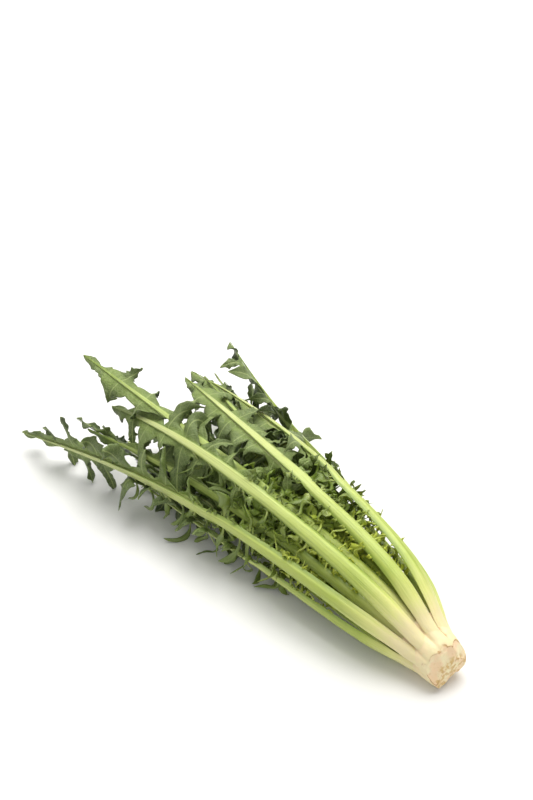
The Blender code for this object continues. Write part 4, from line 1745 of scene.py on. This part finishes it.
@dataclass
class FineBlade:
    """A leaf's blade: a narrow web along the midrib and long, toothed, curling lobes."""

    grown: GrownLeaf
    web_rows: int = 5
    web_share: float = 0.45
    web_wave: float = 0.0010
    wave_run: float = 0.0021
    lobe_columns: int = 9
    tip_columns: int = 16
    strap_rows: int = 18
    sheet_height: float = 0.0005
    thickness: float = 0.00055
    rib_least: float = 0.0004
    least_lobe: float = 0.010
    toothed_from: float = 0.012
    lobe_half: float = 0.0006
    lobe_breadths: tuple[float, float] = (0.055, 0.125)
    long_from: float = 1.7
    hang: float = 0.30
    tip_fold: float = 0.35
    tip_swing: float = 0.75
    tip_waves: float = 7.5
    tip_aside: float = 0.004

    def __post_init__(self) -> None:
        """Seeds the blade's own random numbers and starts its sheet."""
        self.leaf = self.grown.leaf
        self.draw = random.Random(f"blade {self.leaf.name}")
        self.tone = self.draw.random()
        self.points: list[Array] = []
        self.faces: list[tuple[int, ...]] = []
        self.values: list[Array] = []
        self.size = 0

    def put(self, points: Array, *values: Array | float) -> int:
        """Adds points with their values to the sheet.

        Args:
            points: The points, as rows.
            *values: The SHEET_VALUES in order, each as one number or as one a point.

        Returns:
            The first point's number.
        """
        start = self.size
        self.points.append(points)
        self.values.append(np.stack([np.broadcast_to(v, len(points)) for v in values]))
        self.size += len(points)
        return start

    def bridge(self, rows: list[Array], k: int) -> None:
        """Adds the quads between rows of points, turned alike on both sides of the blade.

        Args:
            rows: The points' numbers, row by row.
            k: 0 for the left side, 1 for the right.
        """
        for near, far in zip(rows[:-1], rows[1:]):
            for quad in zip(near[:-1], near[1:], far[1:], far[:-1]):
                self.faces.append(quad if k else quad[::-1])

    def rib_point(self, place: float) -> Array:
        """Gives the sheet's point over the midrib."""
        frame = self.leaf.at(min(place, 1.0))
        return frame[0] + frame[3] * self.sheet_height

    def spine(self, station: Station, k: int) -> Spine:
        """Gives the curve of a station's tooth, from the midrib outwards.

        Args:
            station: The station.
            k: 0 for its left tooth, 1 for its right.

        Returns:
            The curve, which starts on the stalk's upper face.
        """
        frame = self.leaf.at(station.place)
        hand, tooth = 2 * k - 1, station.teeth[k]
        height = BLADE_GAP + BLADE_THICKNESS / 2
        points = tooth_points(frame, hand, tooth, (0.0, height), 0.0)
        drop = frame[3] * (height - self.sheet_height)
        base = frame[0] + frame[3] * self.sheet_height
        near = smooth(0.004, 0.014, tooth.reach)
        middle = points[0][0] - drop * (1 - 0.6 * near)
        end = points[1][0] - drop * (1 - near)
        plain = Spine(base, middle, end, *frame[1:], tooth, hand)
        if tooth.reach < self.least_lobe:
            return plain
        facing = -float(plain.above(np.array([0.6]))[0, 2])
        hook = self.hang * facing + self.draw.uniform(-0.20, 0.26)
        sway = self.draw.uniform(-0.10, 0.10)
        hanging = max(0.0, -float((end - base)[2]) / tooth.reach)
        outer = self.leaf.ring.name is RingName.OUTER
        stretch = 1 + (0.30 * hanging if outer else 0.0)
        return replace(plain, hook=hook, sway=sway, stretch=stretch)

    def form(self, reach: float) -> LobeForm:
        """Draws a lobe's form.

        Args:
            reach: The lobe's reach.

        Returns:
            The form.
        """
        draw = self.draw
        half = reach * between(self.lobe_breadths, draw.random()) + self.lobe_half
        teeth = []
        for side in (-1, 1):
            for _ in range(draw.choice((1, 1, 2, 2, 3)) if reach > self.toothed_from else 0):
                tall = draw.uniform(0.04, 0.16) * reach
                teeth.append((side, draw.uniform(0.18, 0.86), tall, draw.uniform(0.06, 0.11)))
        return LobeForm(
            half_width=half,
            neck=between((0.14, 0.46), draw.random() ** 1.5),
            swell=draw.uniform(0.0, 0.9),
            twist=math.radians(draw.uniform(-130, 130)),
            cup=draw.uniform(-0.7, 0.9),
            ruffle=draw.uniform(0.04, 0.16) * half,
            waves=draw.uniform(1.5, 3.5),
            phase=draw.uniform(0, math.tau),
            teeth=teeth,
        )

    def plan_web(self, stations: list[Station], k: int) -> tuple[list[WebColumn], list[LongLobe]]:
        """Plans the web along one side, from the blade's start to the leaf's tip.

        Args:
            stations: The blade's stations.
            k: 0 for the left side, 1 for the right.

        Returns:
            The web's columns and the long lobes that stand out of it.
        """
        rows = np.linspace(0, 1, self.web_rows + 1)
        spots = np.linspace(-1, 1, self.lobe_columns)
        columns, lobes = [], []
        for first in range(0, len(stations) - 3, 2):
            before, lobe, after = stations[first : first + 3]
            spine = self.spine(lobe, k)
            ends = [self.spine(s, k) for s in (before, after)]
            web = self.web_share * sum(s.teeth[k].reach for s in (before, after))
            reach = lobe.teeth[k].reach
            long = reach > self.long_from * web
            share = min(web / reach, 0.5) if long else 1.0
            outward = spine.at(rows * share) - spine.base
            start = len(columns) - 1 if first else 0
            for spot in spots[1:] if first else spots:
                other, ending = (before, ends[0]) if spot < 0 else (after, ends[1])
                place = lobe.place + (other.place - lobe.place) * abs(spot)
                weight = abs(spot) ** 1.4
                offset = outward * (1 - weight) + (ending.at(rows) - ending.base) * weight
                wave = math.sin(place * self.leaf.length / self.wave_run + self.tone * 40 + k * 2)
                offset = offset + spine.inner * (self.web_wave * wave * rows**2)[:, None]
                aside = abs(place - lobe.place) * self.leaf.length
                run = (web if long else reach) * (1 - weight) + other.teeth[k].reach * weight
                reached = rows * (share if long else 0.6) * (1 - 0.5 * weight)
                columns.append(WebColumn(place, offset, aside, rows * run, reached))
            if long:
                lobes.append(LongLobe(spine, share, list(range(start, len(columns)))))
        return columns + self.plan_tip(stations, k), lobes

    def plan_tip(self, stations: list[Station], k: int) -> list[WebColumn]:
        """Plans the web's spear-shaped tip.

        Args:
            stations: The blade's stations.
            k: 0 for the left side, 1 for the right.

        Returns:
            The tip's columns.
        """
        rows = np.linspace(0, 1, self.web_rows + 1)
        notch, tip, _ = stations[-3:]
        curves = [self.spine(station, k) for station in stations[-3:]]
        offsets = [curve.at(rows) - curve.base for curve in curves]
        reaches = [station.teeth[k].reach for station in stations[-3:]]
        turning = (tip.place - notch.place) / (1.0 - notch.place)
        columns = []
        for share in np.linspace(0, 1, self.tip_columns + 1)[1:]:
            if share < turning:
                low, weight = 0, smooth(0.0, turning, share)
            else:
                low, weight = 1, ((share - turning) / (1 - turning)) ** 1.5
            offset = offsets[low] * (1 - weight) + offsets[low + 1] * weight
            reach = reaches[low] * (1 - weight) + reaches[low + 1] * weight
            slim = 0.62 + 0.38 * (1 - smooth(0.0, 0.35, share))
            ragged = slim * (1 + 0.22 * self.draw.uniform(-1, 1) * (1 - share))
            swing = math.sin(share * self.tip_waves + self.tone * 30 + k * 2.5)
            fold = (self.tip_fold + self.tip_swing * swing) * smooth(0.0, 0.3, share)
            turned = (fold * rows)[:, None]
            far = np.linalg.norm(offset, axis=1)[:, None]
            offset = offset * np.cos(turned) + curves[0].inner * far * np.sin(turned)
            place = between((notch.place, 1.0), share)
            column = WebColumn(place, offset * ragged, self.tip_aside, rows * reach, rows * 0.8)
            columns.append(column)
        return columns

    def lay_web(self, columns: list[WebColumn], rib: int, k: int) -> Array:
        """Adds one side's web to the sheet.

        Args:
            columns: The columns of that side.
            rib: The number of the first point on the midrib.
            k: 0 for the left side, 1 for the right.

        Returns:
            The numbers of the outermost points, column by column.
        """
        count, web_rows = len(columns), self.web_rows
        places = np.array([column.place for column in columns])
        bases = np.stack([self.rib_point(place) for place in places])
        half = np.maximum(self.leaf.half_width(places), self.rib_least)
        points = bases[None] + np.stack([column.offset[1:] for column in columns], 1)
        apart = np.linalg.norm(points - bases[None], axis=2)
        start = self.put(
            points.reshape(-1, 3),
            np.tile(places, web_rows),
            (apart / half).ravel(),
            np.tile([column.aside for column in columns], web_rows),
            np.stack([column.run[1:] for column in columns], 1).ravel(),
            np.stack([column.reach[1:] for column in columns], 1).ravel(),
            np.repeat(np.linspace(0, 1, web_rows + 1)[1:], count),
        )
        rows = [np.arange(count) + rib]
        rows += [np.arange(count) + start + row * count for row in range(web_rows)]
        self.bridge(rows, k)
        return rows[-1]

    def lay_lobe(self, lobe: LongLobe, outer: Array, columns: list[WebColumn], k: int) -> None:
        """Adds the part of a lobe that stands out of the web.

        Args:
            lobe: The lobe.
            outer: The numbers of the web's outermost points.
            columns: The web's columns.
            k: 0 for the left side, 1 for the right.
        """
        spine, share = lobe.spine, lobe.share
        form = self.form(spine.tooth.reach)
        x = np.linspace(0, 1, self.strap_rows + 1)[1:]
        q = share + (1 - share) * x
        across, above = spine.frame(q, form.twist)
        spots = np.linspace(-1, 1, self.lobe_columns)
        held_by = [columns[i] for i in lobe.columns]
        first = np.stack([self.rib_point(column.place) + column.offset[-1] for column in held_by])
        spread = (first - spine.at(np.array([share]))[0])[None]
        held = (1 - smooth(0.0, form.neck, x))[:, None]
        bulge = 1 + form.swell * np.exp(-(((x - 0.60) / 0.22) ** 2))
        half = form.half_width * bulge * (1 - x**2.6) ** 0.62 + LEAST_HALF_WIDTH
        sides = [np.copy(half), np.copy(half)]
        for side, middle, tall, wide in form.teeth:
            spike = np.clip(1 - np.abs(x - middle) / wide, 0, 1) * tall * (1 - 0.5 * x)
            sides[0 if side < 0 else 1] += spike
        wide = np.where(spots[None] < 0, sides[0][:, None], sides[1][:, None]) * spots[None]
        edge = np.abs(spots)[None]
        lift = form.cup * edge**2 * half[:, None]
        phase = form.phase + (spots[None] > 0) * 2.1
        lift = lift + form.ruffle * 3 * edge**2 * np.sin(math.tau * form.waves * x[:, None] + phase)
        free = (1 - held)[:, :, None]
        points = spine.at(q)[:, None] + held[:, :, None] * spread
        points = points + free * (wide[:, :, None] * across[:, None])
        points = points + free * (lift[:, :, None] * above[:, None])
        aside = np.array([column.aside for column in held_by])
        size = self.lobe_columns
        start = self.put(
            points.reshape(-1, 3),
            held_by[len(held_by) // 2].place,
            FAR_FROM_RIB,
            (held * aside[None] + (1 - held) * np.abs(wide)).ravel(),
            np.repeat(q * spine.tooth.reach, size),
            np.repeat(0.3 + 0.7 * x, size),
            np.tile(edge, (self.strap_rows, 1)).ravel(),
        )
        rows = [outer[lobe.columns]]
        rows += [np.arange(size) + start + row * size for row in range(self.strap_rows)]
        self.bridge(rows, k)

    def shape(self) -> PieceMesh:
        """Makes the whole blade.

        Returns:
            Its mesh.
        """
        sides = [self.plan_web(self.grown.blade.stations, k) for k in (0, 1)]
        places = [column.place for column in sides[0][0]]
        asides = [column.aside for column in sides[0][0]]
        bases = np.stack([self.rib_point(place) for place in places])
        rib = self.put(bases, places, 0.0, asides, 0.0, 0.0, 0.0)
        for k, (columns, lobes) in enumerate(sides):
            outer = self.lay_web(columns, rib, k)
            for lobe in lobes:
                self.lay_lobe(lobe, outer, columns, k)
        points = np.concatenate(self.points)
        points[:, 2] = np.maximum(points[:, 2], SHEET_HEIGHT)
        values = dict(zip(SHEET_VALUES, np.concatenate(self.values, 1)))
        thickness = self.thickness * (1 - 0.4 * smooth(0.6, 1.0, values.pop("rim")))
        shell, faces, upper = thicken(points, self.faces, thickness)
        shown = {name: np.tile(numbers, 2) for name, numbers in values.items()}
        shown["upper"] = upper
        shown["lobe"] = 0.5 + 0.5 * np.sin(shown["along"] * 71 + self.tone * 50)
        shown["tone"] = np.full(len(shell), self.tone)
        mesh = PieceMesh()
        mesh.add(shell, faces, shown)
        return mesh


@dataclass
class FineCrown:
    """The crown: ribs that the stalks run down onto, and an end trimmed with knife cuts."""

    form: CrownForm = CrownForm()
    spots: int = 216
    rows: int = 90
    inset: float = 0.040
    torn: float = 0.0012
    uneven: float = 0.00045
    lumps: tuple[tuple[float, float], ...] = ((110.0, 0.7), (330.0, 0.35), (900.0, 0.15))
    softenings: int = 3
    end_rings: int = 16
    grooves: tuple[tuple[float, float], ...] = (
        (-1.0, 0.015), (-0.75, 0.04), (-0.45, 0.09), (-0.2, 0.145), (-0.05, 0.175), (0.27, 0.19),
    )  # fmt: skip

    def skin(self) -> tuple[Array, Array]:
        """Lays the collar's skin before it is cut.

        Returns:
            The points, row by row from the trimmed end, and how deep in a groove each one is.
        """
        along = np.linspace(self.form.profile[0][0], self.form.profile[-1][0], self.rows)
        share = self.form.reach(along) - self.inset * self.form.radius * smooth(-0.85, -0.1, along)
        kernel = np.hanning(7) / np.hanning(7).sum()
        share = np.convolve(np.pad(share, 3, mode="edge"), kernel, mode="valid")
        angle = np.linspace(0, math.tau, self.spots, endpoint=False)
        aside = np.abs((np.degrees(angle) + 20) % 40 - 20)[None]
        aside = aside / (18.6 - 1.9 * smooth(0.0, 0.2, along))[:, None]
        sharp = 1 - (1 - np.minimum(aside, 1) ** 2.3) ** 0.8
        deep = np.interp(along, *np.array(self.grooves).T)[:, None]
        radius = share[:, None] * (1 - deep * sharp)
        radius = radius * (1 + 0.05 * smooth(0.5, 0.95, -np.cos(angle)))[None]
        points = np.stack(
            [
                radius * np.sin(angle)[None],
                np.repeat((along * self.form.length)[:, None], self.spots, 1),
                radius * np.cos(angle)[None],
            ],
            2,
        )
        groove = sharp * smooth(-0.7, 0.0, along)[:, None]
        return points, groove

    def roughness(self, points: Array) -> Array:
        """Gives the unevenness of the flesh at each point, from about -1 to 1."""
        found = [sum(s * noise.noise(Vector(p * k)) for k, s in self.lumps) for p in points]
        return 1.6 * np.array(found)

    def soften(self, grid: Array) -> Array:
        """Rounds the edges that the knife left.

        Args:
            grid: The crown's points, row by row.

        Returns:
            The rounded points.
        """
        for _ in range(self.softenings):
            around = (np.roll(grid, 1, 1) + np.roll(grid, -1, 1)) / 2
            beside = np.copy(grid)
            beside[1:-1] = (grid[:-2] + grid[2:]) / 2
            grid = 0.5 * grid + 0.25 * around + 0.25 * beside
        return grid

    def shape(self) -> PieceMesh:
        """Makes the whole crown.

        Returns:
            Its mesh.
        """
        points, groove = self.skin()
        centres = self.form.centre(points[:, 0, 1] / self.form.length)
        heights = np.concatenate([np.full(self.end_rings, centres[0]), centres])
        end = points[0]
        shares = np.linspace(0.06, 0.94, self.end_rings)
        rings = [end * np.array([share, 1.0, share]) for share in shares]
        points = np.concatenate([np.stack(rings), points])
        groove = np.concatenate([np.zeros((self.end_rings, self.spots)), groove])
        rows = len(points)
        flat = points.reshape(-1, 3)
        behind = 1 - smooth(-0.35, 0.05, flat[:, 1] / self.form.length)
        rough = self.roughness(flat) * behind
        outward = unit(flat * np.array([1.0, 0.25, 1.0]))
        flat = flat + outward * (self.uneven * rough)[:, None]
        flat, sliced = self.form.pared(flat, self.torn * rough)
        flat = self.soften(flat.reshape(rows, self.spots, 3)).reshape(-1, 3)
        flat[:, 2] = np.maximum(flat[:, 2] + np.repeat(heights, self.spots), 0.0)
        trimmed = 1 - smooth(-0.985, -0.84, flat[:, 1] / self.form.length + 0.03 * rough)
        mesh = PieceMesh()
        angle = np.linspace(0, math.tau, self.spots, endpoint=False)
        dried = np.exp(-(((angle - math.radians(20)) / 0.05) ** 2))
        dried = np.tile(dried, rows) * smooth(-0.75, -0.45, flat[:, 1] / self.form.length)
        values = {"sliced": sliced, "trimmed": trimmed, "groove": groove.ravel(), "dried": dried}
        mesh.add(flat, tube_faces(rows, self.spots), values)
        return mesh


@dataclass(frozen=True)
class Lamp:
    """A square soft light that faces a point."""

    name: str
    place: tuple[float, float, float]
    size: float
    power: float
    colour: Colour = (1.0, 1.0, 1.0)

    def build(self, target: Vector) -> None:
        """Adds the light, turned towards a point.

        Args:
            target: The point.
        """
        data = bpy.data.lights.new(self.name, "AREA")
        data.shape, data.size = "SQUARE", self.size
        data.energy, data.color = self.power, self.colour
        lamp = bpy.data.objects.new(self.name, data)
        lamp.location = self.place
        away = Vector(self.place) - target
        lamp.rotation_euler = away.to_track_quat("Z", "Y").to_euler()
        bpy.context.scene.collection.objects.link(lamp)


@dataclass
class Studio:
    """The white floor, the soft lights and the camera."""

    azimuth: float = -39.4
    elevation: float = 38.2
    distance: float = 1.362
    lens: float = 85.0
    sensor: float = 36.0
    frame: tuple[int, int] = (533, 800)
    crown_pixel: tuple[float, float] = (438.0, 652.5)
    crown_back: float = 0.0116
    crown_height: float = 0.0218
    clip_end: float = 30.0
    lit_point: tuple[float, float, float] = (0.0, 0.0, 0.03)
    floor_size: float = 8.0
    floor_drop: float = 0.0002
    ambient: float = 0.40
    lamps: tuple[Lamp, ...] = (
        Lamp("key_light", (0.52, 0.38, 1.72), 1.8, 50.0, (1.0, 0.985, 0.95)),
        Lamp("fill_light", (-0.9, -1.5, 1.4), 1.2, 7.0, (1.0, 0.99, 0.97)),
    )

    def lay_floor(self) -> None:
        """Adds the floor just under the head."""
        half = self.floor_size / 2
        mesh = bpy.data.meshes.new("floor")
        corners = [(-half, -half, 0), (half, -half, 0), (half, half, 0), (-half, half, 0)]
        mesh.from_pydata(corners, [], [(0, 1, 2, 3)])
        mesh.materials.append(FloorFinish().dress())
        floor = bpy.data.objects.new("floor", mesh)
        floor.location.z = -self.floor_drop
        bpy.context.scene.collection.objects.link(floor)

    def light(self, target: Vector) -> None:
        """Adds the lights and an even white surrounding.

        Args:
            target: The point that the lights face.
        """
        for lamp in self.lamps:
            lamp.build(target)
        world = bpy.data.worlds.new("studio")
        bpy.context.scene.world = world
        world.use_nodes = True
        back = world.node_tree.nodes["Background"]
        back.inputs["Color"].default_value = (1.0, 1.0, 1.0, 1.0)
        back.inputs["Strength"].default_value = self.ambient

    def set_camera(self, crown: Vector) -> None:
        """Stands the camera so that the crown falls on its place in the picture.

        Args:
            crown: The crown's centre.
        """
        turn, tilt = math.radians(self.azimuth), math.radians(self.elevation)
        ahead = Vector(
            (
                -math.sin(turn) * math.cos(tilt),
                math.cos(turn) * math.cos(tilt),
                -math.sin(tilt),
            )
        )
        right = Vector((math.cos(turn), math.sin(turn), 0.0))
        up = right.cross(ahead)
        focal = self.lens / self.sensor * max(self.frame)
        aside = (self.crown_pixel[0] - self.frame[0] / 2) * self.distance / focal
        above = (self.frame[1] / 2 - self.crown_pixel[1]) * self.distance / focal
        data = bpy.data.cameras.new("camera")
        data.lens, data.sensor_width, data.clip_end = self.lens, self.sensor, self.clip_end
        camera = bpy.data.objects.new("camera", data)
        rotation = Matrix((right, up, -ahead)).transposed()
        place = crown - ahead * self.distance - right * aside - up * above
        camera.matrix_world = Matrix.Translation(place) @ rotation.to_4x4()
        bpy.context.scene.collection.objects.link(camera)
        bpy.context.scene.camera = camera

    def build(self) -> None:
        """Sets up the whole studio."""
        low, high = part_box("crown")
        crown = Vector(((low.x + high.x) / 2, high.y - self.crown_back, self.crown_height))
        self.lay_floor()
        self.light(Vector(self.lit_point))
        self.set_camera(crown)
        bpy.context.scene.view_settings.view_transform = "Standard"


@dataclass
class Head:
    """The whole head: every leaf's fine pieces and the crown."""

    growth: Growth = field(default_factory=Growth)
    most_spread: float = 0.0002

    def shift(self, grown: list[GrownLeaf]) -> Array:
        """Finds the move from the growth's coordinates to the frame's.

        Args:
            grown: The leaves.

        Returns:
            The move, which is the same for every node.
        """
        moves = []
        for one in grown:
            for shape, kind in ((one.stalk, "stalk"), (one.blade, "blade")):
                low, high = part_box(f"{one.leaf.name}_{kind}")
                points, _ = shape.mesh()
                moves.append(np.array(low) - points.min(0))
                moves.append(np.array(high) - points.max(0))
        spread = np.ptp(np.array(moves), axis=0).max()
        LOG.info("the growth agrees with the frame to %.4f mm", spread * 1000)
        if spread > self.most_spread:
            raise ValueError("the growth rule here isn't the one that the solids grew by")
        return np.median(np.array(moves), axis=0)

    def build(self) -> None:
        """Makes every piece in order, from the outside in."""
        grown = self.growth.grow()
        shift = self.shift(grown)
        # The edge colours below are each ring's green stalk edges, darkened as painted shade of the
        # gaps between stalks
        stalk_finishes = {
            RingName.OUTER: StalkFinish("outer_stalk_flesh"),
            RingName.MIDDLE: StalkFinish(
                "middle_stalk_flesh",
                low=(0.47, 0.56, 0.10),
                middle=(0.36, 0.47, 0.085),
                frond=(0.185, 0.275, 0.036),
                high=(0.52, 0.62, 0.20),
            ),
            RingName.INNER: StalkFinish(
                "inner_stalk_flesh",
                low=(0.48, 0.56, 0.08),
                middle=(0.38, 0.49, 0.06),
                high=(0.42, 0.53, 0.10),
                edge=(0.22, 0.35, 0.030),
                young=(0.84, 0.86, 0.065),
                frond=(0.30, 0.43, 0.045),
            ),
            RingName.HEART: StalkFinish(
                "heart_stalk_flesh",
                low=(0.72, 0.74, 0.16),
                middle=(0.62, 0.68, 0.08),
                high=(0.56, 0.64, 0.07),
                edge=(0.46, 0.55, 0.045),
                young=(0.95, 0.93, 0.11),
                frond=(0.60, 0.68, 0.08),
            ),
        }
        blade_finishes = {
            RingName.OUTER: BladeFinish("outer_blade_tissue"),
            RingName.MIDDLE: BladeFinish("middle_blade_tissue"),
            RingName.INNER: BladeFinish(
                "inner_blade_tissue", front=(0.085, 0.155, 0.026), back=(0.19, 0.28, 0.062)
            ),
            RingName.HEART: BladeFinish(
                "heart_blade_tissue",
                front=(0.42, 0.54, 0.07),
                back=(0.55, 0.64, 0.13),
                young=(0.66, 0.70, 0.12),
                vein=(0.76, 0.80, 0.34),
            ),
        }
        stalks = {ring: finish.dress() for ring, finish in stalk_finishes.items()}
        blades = {ring: finish.dress() for ring, finish in blade_finishes.items()}
        FineCrown().shape().build("crown_fine", "crown", shift, CrownFinish().dress())
        for one in grown:
            name, ring = one.leaf.name, one.leaf.ring.name
            stalk, blade = FineStalk(one).shape(), FineBlade(one).shape()
            stalk.build(f"{name}_fine_stalk", f"{name}_stalk", shift, stalks[ring])
            blade.build(f"{name}_fine_blade", f"{name}_blade", shift, blades[ring])


def corners(box: tuple[Vector, Vector]) -> list[list[float]]:
    """Turns a box into plain lists of numbers."""
    return [[float(number) for number in corner] for corner in box]


def main() -> None:
    """Builds the head's looks and the studio."""
    logging.basicConfig(level=logging.INFO, format="%(message)s")
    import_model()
    Studio().build()
    Head().build()
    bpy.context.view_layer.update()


if __name__ == "__main__":
    main()
